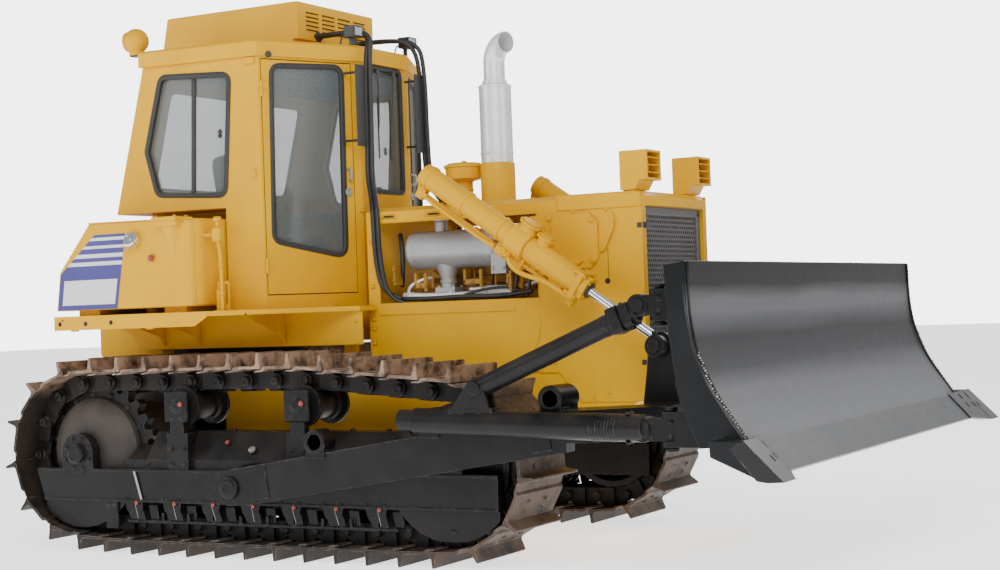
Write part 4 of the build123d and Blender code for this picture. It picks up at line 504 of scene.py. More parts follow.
# tracks: 37 shoes a side on a belt round the wheels; wheels as (x, z, radius of the pin line)
track = {
    "middle": 940, "half": 255, "pitch": 203.5, "count": 37, "wheels": [
        (-1592, 293, 135), (554, 530, 372), (-411, 850, 140), (-1256, 850, 140), (-1996, 580, 405.6)],
    "plateLow": 70, "plateHigh": 86, "grouser": 72, "rail": 45, "inner": 80, "lane": 22, "eye": 34,
    "boltX": (-26, 34), "boltY": (-91, 91),
}


def beltLine(steps=60):
    wheels = track["wheels"]
    angles = []
    for (x1, z1, r1), (x2, z2, r2) in zip(wheels, wheels[1:] + wheels[:1]):
        angles.append(math.atan2(z2 - z1, x2 - x1) - math.pi / 2
                      + math.asin((r1 - r2) / math.hypot(x2 - x1, z2 - z1)))
    line = []
    for k, (x, z, r) in enumerate(wheels):
        turn = (angles[k] - angles[k - 1]) % (2 * math.pi)
        for a in (angles[k - 1] + turn * n / steps for n in range(steps + 1)):
            line.append(Vector((x + r * math.cos(a), z + r * math.sin(a))))
    return line + [line[0]]


def pinPlaces():
    # pins one pitch apart, measured straight from pin to pin
    line = beltLine()
    pins = [line[0]]
    for a, b in zip(line, line[1:]):
        while (b - pins[-1]).length >= track["pitch"] and len(pins) < track["count"]:
            low, high = 0.0, 1.0
            for _ in range(30):
                half = (low + high) / 2
                if (a.lerp(b, half) - pins[-1]).length < track["pitch"]:
                    low = half
                else:
                    high = half
            a = a.lerp(b, low)
            pins.append(a)
    return pins + [pins[0]]


def drawShoe():
    # cross section along the track: bent-down leading lip, rounded root and worn tip of the grouser
    end = track["pitch"] / 2 - 1.5
    low, high, tip = track["plateLow"], track["plateHigh"], track["plateHigh"] + track["grouser"]
    section = [(-end, low + 1), (end - 44, low), (end - 26, low - 3), (end - 8, low - 14), (end + 39, low - 17),
               (end + 41, low - 11), (end - 4, low - 4), (end - 16, high - 4), (end - 34, high),
               (-end + 52, high), (-end + 39, high + 4), (-end + 32, high + 14), (-end + 26, tip - 8),
               (-end + 22, tip), (-end + 13, tip), (-end + 10, tip - 6), (-end + 5, high + 10), (-end, high)]
    half = track["half"]
    loft([[(x * size, y, z) for x, z in section]
          for y, size in ((-half, 0.996), (-half + 5, 1), (half - 5, 1), (half, 0.996))])
    for x in track["boltX"]:
        for y in track["boltY"]:
            bolt((x, y, high), zWay, 11)


def drawLinks():
    # offset links: one end inside, the other outside, rounded about the pins, with their bosses
    end, eye, rail, lane = track["pitch"] / 2, track["eye"], track["rail"], track["lane"]
    for at, start in ((end, track["inner"]), (-end, track["inner"] + lane + 0.5)):
        way = 1 if at > 0 else -1
        arc = [(at + way * eye * math.cos(a), eye * math.sin(a) * 1.15)
               for a in (math.radians(d) for d in range(-60, 61, 20))]
        outline = [(way * -12, -rail), (at - way * 6, -rail), *arc, (at - way * 20, 44), (at - way * 34, 68),
                   (way * -12, 68)]
        for side in (-1, 1):
            plate(outline, (0, side * start, 0), xWay, -side * zWay, -lane)
            turned((at, side * (start + lane - 1), 0), (0, side, 0),
                   [(0, 27), (5, 27), (7, 24), (7, 17), (3, 15), (3, 2)], 16)


def makeTrack(name, side):
    pins = pinPlaces()
    for kind, draw, finish in (("shoes", drawShoe, "shoeSteel"), ("links", drawLinks, "linkSteel")):
        draw()
        bmesh.ops.recalc_face_normals(work[0], faces=work[0].faces)
        one = bpy.data.meshes.new(kind)
        work[0].to_mesh(one)
        work[0].clear()
        for a, b in zip(pins, pins[1:]):
            middle, along = (a + b) / 2, (b - a).normalized()
            copy = one.copy()
            copy.transform(Matrix(((along.x, 0, along.y, middle.x), (0, 1, 0, side * track["middle"]),
                                   (along.y, 0, -along.x, middle.y), (0, 0, 0, 1))))
            work[0].from_mesh(copy)
            bpy.data.meshes.remove(copy)
        bpy.data.meshes.remove(one)
        finishPiece(kind + name, "chassis", finish, replaced=["track_" + name.lower()])


for name, side in sides:
    makeTrack(name, side)
print("tracks")

# air conditioner hoses: from the unit over the edge of the roof, down the cab's corners and into the engine bay
hoses = {
    "diameter": 0.028,
    "length": 2.10,
    "apart": 0.031,  # between the middles of the two hoses of a pair
    "route": [(-0.832, -0.200, 3.040), (-0.640, -0.200, 3.045), (-0.440, -0.232, 3.020),
              (-0.425, -0.312, 2.860), (-0.425, -0.318, 2.340), (-0.420, -0.336, 2.150),
              (-0.362, -0.396, 2.032), (-0.303, -0.476, 1.930), (-0.298, -0.472, 1.640),
              (-0.250, -0.468, 1.450), (-0.160, -0.420, 1.426)],
}


def makeHose(name, side, beside=0):
    curve = bpy.data.curves.new(name, "CURVE")
    curve.dimensions = "3D"
    curve.bevel_depth = hoses["diameter"] / 2
    curve.bevel_resolution = 4
    curve.use_fill_caps = True
    curve.materials.append(materials["hoseRubber"])
    spline = curve.splines.new("NURBS")
    spline.points.add(len(hoses["route"]) - 1)
    for k, (point, (x, y, z)) in enumerate(zip(spline.points, hoses["route"])):
        point.co = (x + beside * (k > 1), (y - beside * (k < 3)) * side, z - beside * (k > 8), 1)
    spline.order_u = 3
    spline.use_endpoint_u = True
    spline.resolution_u = 10
    hose = newObject(name, curve)
    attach(hose, "chassis")
    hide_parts("ac_hoses")
    x, y, z = hoses["route"][0]


for name, side in (("Right", 1), ("Left", -1)):
    makeHose("acHose" + name, side)
    makeHose("acHose" + name + "Outer", side, hoses["apart"])
print("hoses")

# cab, drawn on its right side: windows in rubber, handles and buffers; door and wall as (origin, way along)
cab = {
    "door": ((-789, -880, 0), (0.4164, 0.9092, 0)), "wall": ((-789, -880, 0), (0.99768, 0.06801, 0)),
    "doorWindow": [(92, 2792), (551, 2806), (541, 1696), (74, 1788)],
    "doorLeaf": [(16, 1472), (623, 1472), (623, 2836), (16, 2836)],
    "sideWindow": [(-676, 2778), (-206, 2756), (-255, 2068), (-724, 2096), (-790, 2349)],
    "rubber": [(-22, 0), (-22, 5), (-16, 8.5), (2, 8.5), (7, 5), (7, -14), (-22, -14)],
    "rearWindow": (-1569, 2445), "rearFoot": 1988, "rearTop": 2947, "rearLean": 247,
    "lining": [(-1520, -880), (-815, -815), (-570, -240), (-570, 240), (-815, 815), (-1520, 880)],
}


def onWall(plane, a, z, out=0.0):
    origin, along = plane
    return Vector(origin) + Vector(along) * a + zWay * z + Vector((along[1], -along[0], 0)) * out


def makeCabTrim():
    door, wall = cab["door"], cab["wall"]
    doorOut, wallOut = (onWall(plane, 0, 0, 1) - onWall(plane, 0, 0) for plane in (door, wall))
    rim(rounded(cab["doorWindow"], 56), *door, zWay, cab["rubber"])
    finishPair("doorRubber", "door_", "gasketRubber", 50)
    rim(rounded(cab["sideWindow"], 50), *wall, zWay, cab["rubber"])
    # middle post of the sliding window, with its dark channel
    for foot, wide, thick in ((-498, 22, 10), (-482, 12, 8)):
        plate([(foot, 2092), (foot + wide, 2092), (foot + wide + 28, 2768), (foot + 28, 2768)],
              onWall(wall, 0, 0, -22), wall[1], zWay, thick)
    finishPair("sideRubber", "chassis", "gasketRubber", 50)
    # pull handle and lock barrel
    grip = [(580, 2204, 2), (580, 2204, 34), (588, 2140, 34), (588, 2140, 2)]
    pipe([onWall(door, *spot) for spot in grip], 8)
    turned(onWall(door, 578, 2070), doorOut, [(0, 24), (8, 24), (10, 20), (10, 12), (6, 10)], 20)
    finishPair("doorHandle", "door_", "paleMetal")
    # dark seal round the door leaf, on the cab
    rim(cab["doorLeaf"], *door, zWay, [(-1.5, -24), (-1.5, -6), (1.5, -6), (1.5, -24)])
    finishPair("doorSeal", "chassis", "gasketRubber", 50)
    # rubber buffer over the door, catch of the side window
    turned(onWall(door, 60, 2859, 12), doorOut, [(0, 18), (14, 18), (18, 14), (18, 4)], 18)
    turned(onWall(wall, -285, 2434, -18), wallOut, [(0, 17), (8, 17), (10, 14)], 4)
    turned(onWall(wall, -285, 2410, -18), wallOut, [(0, 14), (14, 14), (16, 9)], 4)
    finishPair("cabStops", "chassis", "lampBlack")
    # small brackets on the wall and the roof
    turn = Matrix.Rotation(math.atan2(wall[1][1], wall[1][0]), 4, "Z")
    for a, z, wide, tall in ((-53, 2826, 62, 40), (-47, 2175, 26, 50)):
        cube(onWall(wall, a, z, 6), (wide, 12, tall), 2, turn)
    for x, y in ((-1120, -620), (-690, -420)):
        cube((x, y, 2956), (40, 28, 20))
    finishPair("cabLugs", "chassis", "yellowPaint")


def makeCabFront():
    rim(rounded(oblong(0, 2458, 190, 368), 30), (-506, 0, 0), yWay, zWay, cab["rubber"])
    finishPiece("screenRubber", "chassis", "gasketRubber", 50)
    lean = math.atan(cab["rearLean"] / (cab["rearTop"] - cab["rearFoot"]))
    x, z = cab["rearWindow"]
    middle = Vector((x - math.tan(lean) * (cab["rearTop"] - z), 0, z))
    rim(rounded(oblong(0, 0, 690, 300), 50), middle, -yWay, (math.sin(lean), 0, math.cos(lean)), cab["rubber"])
    finishPiece("rearRubber", "chassis", "gasketRubber", 50)
    for y, lean in ((-96, 26), (84, -22)):
        rod((-504, y, 2812), (-478, y, 2806), 13)
        pipe([(-484, y, 2806), (-484, y + lean * 0.5, 2640), (-500, y + lean, 2470)], 4)
        cube((-504, y + lean, 2470), (8, 6, 380), 1)
    finishPiece("screenWipers", "chassis", "lampBlack")
    # flat bars beside the windscreen, on their stays
    for y, high, foot in ((-392, 2812, -565.54), (262, 2816, -506)):
        block((-418, y - 46, 2330), (-410, y + 46, high))
        for z in (2370, high - 40):
            rod((-416, y * 0.96, z), (foot, y * 0.96, z), 8)
    finishPiece("screenBars", "chassis", "lampBlack")


def makeSeat():
    # crowned cushions: a box of rounded squares, sides drawn in between the corners, sewn channels across
    for name, middle, size, lean, channels, flat in (
            ("seatCushion", (-1310, 0, 1800), (500, 500, 122), 0.05, (-0.35, 0.35), 2),
            ("seatBack", (-1598, 0, 2105), (118, 470, 560), -0.15, (-0.40, 0.0, 0.40), 0)):
        shape = work[0]
        bmesh.ops.create_cube(shape, size=2)
        bmesh.ops.subdivide_edges(shape, edges=shape.edges[:], cuts=15, use_grid_fill=True)
        wide, deep = [k for k in range(3) if k != flat]
        for vertex in shape.verts:
            start = vertex.co.copy()
            bulge = (1 - start[wide] ** 4) * (1 - start[deep] ** 4)
            sewn = sum(math.exp(-((start.y - at) / 0.035) ** 2) for at in channels) * bulge
            edge = [abs(a) ** 6 for a in start]
            for k in range(3):
                others = edge[:k] + edge[k + 1:]
                vertex.co[k] *= (1 - 0.10 * max(others) - 0.05 * min(others)) * size[k] / 2
            vertex.co[flat] *= (0.80 + 0.20 * bulge) * (1 - 0.16 * sewn)
            vertex.co[wide] *= 1 - 0.03 * (1 - start[deep] ** 2)
        turn = Matrix.Translation(middle) @ Matrix.Rotation(lean, 4, "Y")
        bmesh.ops.transform(shape, matrix=turn, verts=shape.verts)
        finishPiece(name, "chassis", "seatVinyl", 180, ["seat"])
    for y in (-242, 242):
        block((-1540, y - 17, 1770), (-1500, y + 17, 1980), 8)
        block((-1560, y - 17, 1960), (-1240, y + 17, 2010), 14)
    block((-1520, -200, 1438), (-1140, 200, 1500), 8)
    for k in range(7):
        edge = 6 if k % 2 else 20
        block((-1500 + edge, -180 + edge, 1500 + k * 30), (-1160 - edge, 180 - edge, 1532 + k * 30), 6)
    block((-1520, -210, 1712), (-1120, 210, 1742), 6)
    finishPiece("seatFrame", "chassis", "consoleGrey", 40, ["seat"])
    for y in (-130, -60, 60, 130):
        rod((-650, y, 2040), (-690, y, 2170), 7)
        turned((-690, y, 2165), (-0.3, 0, 1), [(0, 10), (8, 20), (28, 20), (38, 10)], 14)
    turned((-620, 0, 2050), (-0.6, 0, 0.8), [(0, 90), (14, 90), (20, 70), (22, 20)])
    finishPiece("consoleLevers", "chassis", "lampBlack")


def makeCabLining():
    # dark headliner, sills and rear shelf
    panel([(-1700, 2000), (-850, 2000), (-850, 2040), (-1690, 2040)], 800, 30)
    block((-1640, 410, 1990), (-1060, 710, 2010), 4)
    bothSides()
    plate(cab["lining"], (0, 0, 2796), xWay, yWay, 44, 8)
    block((-1700, -560, 1990), (-1640, 560, 2110), 10)
    finishPiece("cabLining", "chassis", "consoleGrey")


makeCabTrim()
makeCabFront()
makeCabLining()
makeSeat()
print("cab")

# roof: lamp faces, lens of the lamp on the arm, grommets where the hoses leave, vents of the conditioner
roof = {"lamp": (-475, 300, 3025), "beacon": (-1787, -800, 3043), "grommet": (-834, 200, 3040),
        "louvreX": -832, "louvreYs": (-255, -85, 85, 255), "louvreZs": range(3072, 3177, 26)}


def makeRoof():
    x, lampY, z = roof["lamp"]
    for y in (-lampY, lampY):
        cube((x + 2, y, z), (6, 84, 54))
        for k in range(7):
            cube((x + 6, y - 33 + k * 11, z), (4, 8, 46), 2)
    turned(roof["beacon"], -xWay, [(-2, 61), (2, 61), (8, 50), (12, 30), (13.5, 4)], 28)
    finishPiece("lampFaces", "chassis", "lensClear")
    for y in (-lampY, lampY):
        rim(rounded(oblong(y, z, 48, 33), 8), (x, 0, 0), yWay, zWay, [(0, -6), (0, 8), (5, 8), (6, 0)])
        pipe([(x - 70, y - 20, z - 20), (x - 100, y - 20, z - 10), (x - 125, y - 10, z - 70)], 5)
    finishPiece("lampRims", "chassis", "lampBlack")
    turned(roof["grommet"], xWay, [(0, 34), (6, 34), (12, 26), (26, 18), (40, 14), (40, 10.4)], 22)
    bothSides()
    finishPiece("hoseGrommets", "chassis", "gasketRubber")
    x = roof["louvreX"]
    places = [(y, z) for y in roof["louvreYs"] for z in roof["louvreZs"]]
    for y, z in places:
        cube((x - 4, y, z - 5), (14, 138, 4), 1, Matrix.Rotation(0.5, 4, "Y"))
    finishPiece("roofLouvres", "chassis", "yellowPaint")
    # dark sheets behind the louvres: painted shade inside the vents
    for y, z in places:
        cube((x - 10.75, y, z), (2.5, 139.6, 11.6), 0)
    finishPiece("roofVents", "chassis", "radiatorBlackAndShade")


makeRoof()
print("roof")

# grille: frame round a sheet with staggered holes, latches down its left edge
grille = {"x": 1360, "half": 398, "low": 882, "high": 1872, "rim": 44, "columns": 25, "rows": 34,
          "hole": (0.34, 0.414)}


def drawHole(x, y, z, wide, tall):
    # a ring of eight faces round a flattened eight-sided hole, in front and behind, and the hole's wall
    shape = work[0]
    outer = [(0.5, 0), (0.5, 0.5), (0, 0.5), (-0.5, 0.5), (-0.5, 0), (-0.5, -0.5), (0, -0.5), (0.5, -0.5)]
    holeWide, holeTall = grille["hole"]
    angles = [k * math.pi / 4 for k in range(8)]
    front = []
    for depth in (6, 2):
        edge = [shape.verts.new((x + depth, y + a * wide, z + b * tall)) for a, b in outer]
        hole = [shape.verts.new((x + depth, y + math.cos(a) * wide * holeWide,
                                 z + math.sin(a) * tall * holeTall)) for a in angles]
        for k in range(8):
            n = (k + 1) % 8
            face = (edge[k], edge[n], hole[n], hole[k])
            shape.faces.new(face[::-1] if front else face)
            if front:
                shape.faces.new((front[k], front[n], hole[n], hole[k]))
        front = hole


def makeGrille():
    x, half, low, high, edge = (grille[k] for k in ("x", "half", "low", "high", "rim"))
    middle = (low + high) / 2
    rim(rounded(oblong(0, middle, half, (high - low) / 2), 30), (x, 0, 0), yWay, zWay,
        [(0, 0), (0, 11), (3, 14), (edge - 6, 14), (edge, 9), (edge, 0)])
    # the sheet reaches a little under the frame, and alternate rows of holes lie half a cell over
    side, foot = half - edge + 4, low + edge - 4
    wide, tall = 2 * side / grille["columns"], (high - low - 2 * edge + 8) / grille["rows"]
    for row in range(grille["rows"]):
        odd = row % 2
        z = foot + (row + 0.5) * tall
        for column in range(grille["columns"] - odd):
            drawHole(x, -side + (column + 0.5 + 0.5 * odd) * wide, z, wide, tall)
        for y in (-side, side - wide / 2) if odd else ():
            block((x + 2, y, z - tall / 2), (x + 6, y + wide / 2, z + tall / 2), 0)
    bmesh.ops.remove_doubles(work[0], verts=work[0].verts, dist=0.01)
    finishPiece("fineGrille", "chassis", "grilleGrey", 35, ["grille"])
    for z in (high - 104, low + 150):
        block((1388, -half - 42, z - 17), (1400, -half + 34, z + 17), 4)
        block((1364, -half - 56, z - 14), (1392, -half - 50, z + 14))
        turned((1399, -half - 18, z), xWay, [(0, 15), (8, 15), (10, 10)], 14)
    for y in (-half + 22, half - 22):
        for z in (low + 30, middle, high - 30):
            turned((x + 13, y, z), xWay, [(0, 10), (5, 10), (6, 8)], 14)
    finishPiece("grilleLatches", "chassis", "lampBlack")
    # radiator core behind: tubes with their fins, and a dark sheet between them and the grille, painted shade
    # seen through the grille
    for k in range(38):
        y = -half + 14 + k * 21
        block((1291, y, low + 10), (1300, y + 7, high - 10), 0)
    for k in range(8):
        z = low + 60 + k * 125
        block((1290, -half + 8, z), (1304, half - 8, z + 8), 0)
    block((1316, -half + 6, low + 6), (1320, half - 6, high - 6), 0)
    finishPiece("radiatorFins", "chassis", "radiatorBlackAndShade")


makeGrille()
print("grille")

# track frames: covers, plugs, straps, bearing caps, lower rail and small brackets, drawn on the left
under = {
    "face": 1144, "rollers": range(-1592, 89, 280), "carriers": (-1256, -411), "hub": (-1996, 580),
    "trunnion": (-762, 414), "trunnionCap": [(0, 60), (6, 60), (9, 55), (9, 30), (4, 28), (4, 3)],
}


def ringBolts(middle, y, size, count, radius, shift=0.5):
    x, z = middle
    wallBolts(y, size, [(x + a, z + b) for a, b in ring(count, radius, shift)])


def makeUndercarriage():
    face, (hubX, hubZ) = under["face"], under["hub"]
    # two bolts beside each roller's plug, webs of the casting
    for x in under["rollers"]:
        wallBolts(face, 10, [(x - 58, 318), (x + 58, 318)])
        for dx in (-34, 34):
            cube((x + dx, face + 2.5, 322), (12, 13, 32))
    # squared heads of the posts over the ends of the carrier rollers, and their clamp halves
    for x in under["carriers"]:
        block((x - 82, face - 12, 764), (x + 84, face + 12, 942), 9)
        turned((x + 6, face + 8, 856), yWay, [(0, 44), (10, 44), (14, 38), (14, 16), (8, 14), (8, 2)], 28)
        wallBolts(face, 12, [(x + dx, z) for dx, z in ((-44, 520), (44, 520), (-44, 610), (44, 610), (-30, 790),
                                                      (30, 790))])
        cube((x, face + 0.5, 776), (112, 13, 12))
    # steps along the spring cover
    wallBolts(1116, 11, [(x, z) for x in (-1500, -1240, 134) for z in (520, 480)])
    for x in (-1000, -600, -180, 60):
        bolt((x, 940, 700), zWay, 12)
    # bearing cap outside the sprocket, guide plate and bolts of the idler's yoke
    turned((hubX, 1184, hubZ), yWay, [(0, 58), (10, 58), (14, 52), (14, 40), (8, 36), (8, 3)], 32)
    ringBolts(under["hub"], 1165, 11, 8, 94)
    wallBolts(1150, 12, [(554 + dx, 545 + dz) for dx in (-56, 56) for dz in (-34, 34)])
    cube((554, 1151, 517), (128, 10, 10))
    wallBolts(1138, 11, [(x, 190) for x in (-2230, -1720, 290, 560, 780)])
    finishPair("frameFittings", "chassis", "frameBlack")
    # lower rail of the roller guard with a panel in front of each roller
    for name, side in sides:
        for x in under["rollers"]:
            for y, outline in ((1136, [(x - 66, 282), (x + 54, 282), (x + 78, 198), (x - 26, 198)]),
                               (1112, [(x + 84, 282), (x + 150, 282), (x + 160, 198), (x + 100, 198)])):
                plate(outline, (0, side * y, 0), xWay, zWay, -side * 6, 2)
        block((-1650, side * 1124, 176), (218, side * 1138, 196), 4)
        for x in range(-1570, 218, 186):
            cube((x, side * 1127, 210), (18, 30, 60))
        finishPiece("guardRail" + name, "chassis", "frameBlack")
    # grease plugs
    for x in under["rollers"]:
        turned((x + 26, face + 3, 296), yWay, [(0, 12), (10, 12), (13, 8)], 10)
    for x in under["carriers"]:
        turned((x + 42, face + 10, 866), yWay, [(0, 15), (11, 15), (14, 10)], 10)
    turned((-956, 1060, 640), (0, 0.8, 0.6), [(0, 13), (12, 13), (14, 8)], 10)
    finishPair("greasePlugs", "chassis", "plugRed")
    # worn brace strips between posts and beam, a pale plug, a thin line of bare metal down each panel
    for x1, z1, x2, z2, y in ((-1571, 480, -1522, 317, 1157), (-1297, 620, -1240, 500, 1120),
                              (-440, 640, -400, 500, 1120)):
        along = Vector((x2 - x1, z2 - z1)).normalized() * 7
        panel([(x1 - along.y, z1 + along.x), (x2 - along.y, z2 + along.x), (x2 + along.y, z2 - along.x),
               (x1 + along.y, z1 - along.x)], y, 5)
    turned((-765, 1086, 600), (0, 0.6, 0.8), [(0, 22), (14, 22), (17, 16)], 16)
    for k, x in enumerate(under["rollers"]):
        rod((x + 8, 1143, 288), (x + 26 + 4 * (k % 3), 1142, 206), 2.2, 6)
    finishPair("wornStrips", "chassis", "paleMetal")
    # bracket behind, and the cap of the blade arm's trunnion
    block((-1803, 1138, 140), (-1711, 1152, 312), 5)
    wallBolts(1152, 9, [(-1780, 282), (-1736, 282), (-1757, 190)])
    x, z = under["trunnion"]
    turned((x, 1322, z), yWay, under["trunnionCap"], 30)
    finishPair("trunnionCap", "chassis", "frameBlack")
    # final drive: ring of cover bolts and fill plug; sprocket: bolted segments
    ringBolts(under["hub"], 1001, 14, 14, 296)
    turned((hubX + 150, 1040, hubZ + 150), (0.2, 1, 0.2), [(0, 24), (26, 24), (30, 18)], 6)
    finishPair("driveBolts", "chassis", "driveGrey")
    ringBolts(under["hub"], 972.5, 13, 15, 345, 0)
    finishPair("sprocketBolts", "chassis", "wheelIron")


makeUndercarriage()
print("undercarriage")

# right tank: stripes down to a blank plate, chrome filler, plug, drain valve; left box: its door
tank = {
    "face": 1180, "rear": [(-1794, 1864), (-2066, 1640), (-2096, 1428)],
    "front": [(-1559, 1864), (-1636, 1428)],
    # heights where the stripes change, blue at the top and then by turns
    "levels": [1864, 1847, 1829, 1800, 1783, 1753, 1730, 1707, 1684, 1602, 1456, 1428],
    "border": (34, -22), "cap": (-1488, -1203, 1811), "capAxis": (0, -0.85, 0.53),
    "flange": (-1216, -1176, 1937), "valve": (-950, -1085),
}


def edgeAt(line, z):
    for (x1, z1), (x2, z2) in zip(line, line[1:]):
        if z2 <= z <= z1:
            return x1 + (x2 - x1) * (z1 - z) / (z1 - z2)
    return line[-1][0]


def drawStripe(high, low, inRear=0, inFront=0):
    levels = [high] + [z for _, z in tank["rear"] if low < z < high] + [low]
    outline = [(edgeAt(tank["rear"], z) + inRear, z) for z in levels]
    outline += [(edgeAt(tank["front"], z) + inFront, z) for z in reversed(levels)]
    plate(outline, (0, -tank["face"], 0), xWay, zWay, 1.2)


def makeTankTrim():
    stripes = list(zip(tank["levels"], tank["levels"][1:]))
    for high, low in stripes[::2]:
        drawStripe(high, low)
    # border at both ends of the blank plate
    (high, low), (inRear, inFront) = stripes[-2], tank["border"]
    for line, inner in ((tank["rear"], inRear), (tank["front"], inFront)):
        foot, head = edgeAt(line, low), edgeAt(line, high)
        (x1, x2), (x3, x4) = sorted((foot, foot + inner)), sorted((head, head + inner))
        plate([(x1, low), (x2, low), (x4, high), (x3, high)], (0, -tank["face"], 0), xWay, zWay, 1.2)
    finishPiece("blueStripes", "chassis", "stripeBlue")
    for high, low in stripes[1:-2:2]:
        drawStripe(high, low)
    drawStripe(*stripes[-2], inRear, inFront)
    finishPiece("whiteStripes", "chassis", "stripeWhite")
    cap, axis = Vector(tank["cap"]), Vector(tank["capAxis"]).normalized()
    turned(cap - axis * 12, axis, [(0, 47), (36, 47), (42, 42), (44, 22), (44, 3)], 36)
    for spot in circle(cap - axis * 8, *across(axis), 47, 18):
        rod(spot, spot + axis * 30, 4, 8)
    cube((-1494, -1244, 1851), (12, 16, 22))
    finishPiece("tankCap", "chassis", "rodChrome")
    turned((-1357, -1193, 1709), -yWay, [(0, 22), (3, 22), (9, 18), (16, 17), (18, 12)], 6)
    finishPiece("sightPlug", "chassis", "plugRed")
    # weld seams down the corners of both
    for start, end in (((-1066, 1176, 1436), (-1066, 1176, 1915)), ((-1839, 1176, 1934), (-1066, 1176, 1926))):
        rod(start, end, 4, 8)
    bothSides()
    # flange with the collar under it, and the drain valve that stands between tank and cab
    x, y, z = tank["flange"]
    for dx in (-68, 68):
        for dy in (-56, 44):
            bolt((x + dx, y + dy, z), zWay, 9)
    block((x - 84, y - 70, z - 52), (x + 84, y + 4, z - 10), 12)
    x, y = tank["valve"]
    pipe([(x + 8, y, 1390), (x + 8, y, 1700), (x - 8, y, 1772), (x - 8, y, 1800)], 11)
    block((x - 38, y - 26, 1786), (x + 20, y + 26, 1868), 9)
    turned((x - 10, y, 1868), zWay, [(0, 12), (34, 12), (38, 22), (52, 25), (60, 18), (62, 4)], 20)
    pipe([(x - 30, y, 1828), (-1072, y, 1828)], 12)
    for z in (1480, 1640):
        turned((x + 8, y, z), zWay, [(0, 12), (2, 17), (20, 17), (22, 12)], 6)
    finishPiece("tankFittings", "chassis", "yellowPaint")
    # latches, hinges and vents
    panel([(-1990, 1470), (-1120, 1470), (-1120, 1860), (-1830, 1866), (-1990, 1690)], 1180, 6)
    for x in (-1700, -1300):
        cube((x, 1192, 1830), (48, 12, 40), 4)
        rod((x - 60, 1190, 1480), (x + 60, 1190, 1480), 8)
    for k in range(8):
        cube((-1370, 1188, 1565 + k * 24), (260, 8, 10), 3, Matrix.Rotation(0.3, 4, "X"))
    finishPiece("batteryDoor", "chassis", "yellowPaint")


makeTankTrim()

# fenders: painted shade in the hollows and holes of the lip, tread strips on top, end bolts and hanging clips
fender = {"hollows": [(-2071, 1347), (-1871, 1345), (-1676, 1348)], "holes": [(-2050, 1368), (-700, 1368)],
          "face": 1193.5, "front": (-976, 1150), "narrowing": 0.88}


def makeFenderTrim():
    # black discs on the lip: painted shade inside the hollows and holes
    for spots, radius, sharp, count in ((fender["hollows"], 14, 2, 20), (fender["holes"], 6, 1, 14)):
        for x, z in spots:
            turned((x, fender["face"], z), yWay, [(0, radius), (2, radius), (2.2, radius - sharp)], count)
    finishPair("lipHoles", "chassis", "radiatorBlackAndShade")
    startX, edgeY = fender["front"]
    for name, side in sides:
        for x in range(-960, -420, 60):
            for y in range(690, int(edgeY - fender["narrowing"] * (x - startX)), 40):
                turn = Matrix.Rotation(0.6 if (x // 60 + y // 40) % 2 else -0.6, 4, "Z")
                cube((x, side * y, 1393.5), (32, 10, 5), 2, turn)
        for z in (1180, 1305):
            bolt((-350, side * 620, z), (0, side, 0), 9)
        for x in (-1990, -1420):
            cube((x, side * 1156, 1332), (60, 12, 64), 4)
        finishPiece("fenderTreads" + name, "chassis", "yellowPaint")


makeFenderTrim()
print("tanks and fenders")

# hood and nose: slots, seams, bolts, strap handle, loop, plate lip
hood = {
    "half": 450, "slots": [(-212, 1902), (92, 1902)],
    "postBolts": [(-335, 1310), (-335, 1255), (-335, 1170), (-335, 1760), (-335, 1500)],
    "noseBolts": [(982, 1862), (1183, 1864), (936, 943), (1165, 858), (1082, 838)],
    "lowBolts": [(x, 1040) for x in (-330, -180, 40, 420, 700, 850)],
    "handle": [(1210, 452, 1852), (1232, 470, 1780), (1196, 474, 1700), (1160, 466, 1640), (1150, 452, 1636)],
    "skirt": [(740, 984), (866, 984), (832, 1052), (740, 1052)],
    "noseCap": [(889, 1868), (1390, 1868), (1390, 1948), (889, 1952)],
}


def makeHoodTrim():
    wallBolts(hood["half"], 9, hood["postBolts"] + hood["noseBolts"] + hood["lowBolts"])
    # seam strip where hood and nose meet, slim beads round the bay's opening
    block((879, 448, 1420), (887, 453, 1950), 1)
    for x1, z1, x2, z2 in ((-287, 1868, 755, 1868), (-289, 1404, -289, 1862), (757, 1404, 757, 1862)):
        rod((x1, 449, z1), (x2, 449, z2), 5, 10)
    for shift in (-6, 0, 6):
        pipe([(x + shift, y, z) for x, y, z in hood["handle"]], 5, 8)
    for x, z in hood["slots"]:
        rim(rounded(oblong(x, z, 46, 14), 13), (0, 450, 0), xWay, zWay, [(0, 0), (2, -4), (5, -4), (7, 0)])
    # skirt that closes the corner between hood, beam and nose; loop for the hood's prop
    panel(hood["skirt"], 443, 5)
    pipe([(1012, 450, 1570), (1012, 476, 1574), (1040, 476, 1590), (1040, 450, 1592)], 7)
    for x in (-500, -60):
        turned((x, 280, 1954), zWay, [(0, 16), (6, 16), (9, 12), (9, 3)], 18)
    bothSides()
    # cap that covers the top of the nose, catch on its lip, hood hinge down the middle
    for side in (-1, 1):
        plate(hood["noseCap"], (0, side * 449, 0), xWay, zWay, -side * 10, 4)
    block((1352, 290, 1902), (1392, 330, 1946), 5)
    rod((-340, 0, 1956), (0, 0, 1956), 7)
    finishPiece("hoodFittings", "chassis", "yellowPaint")
    # painted shade: a thin dark panel down each slot, and dark squares round the post bolts for the shade in
    # their holes
    for x, z in hood["slots"]:
        panel(rounded(oblong(x, z, 34, 5), 5), 450, 1.2)
    for x, z in hood["postBolts"]:
        cube((x, 450.5, z), (26, 3, 26))
    turned((1178, 449.5, 1475), yWay, [(0, 16), (1.5, 16), (1.6, 14)], 20)
    block((1184, 449, 1490), (1187, 451, 1650), 0)
    bothSides()
    finishPiece("hoodSlots", "chassis", "radiatorBlackAndShade")


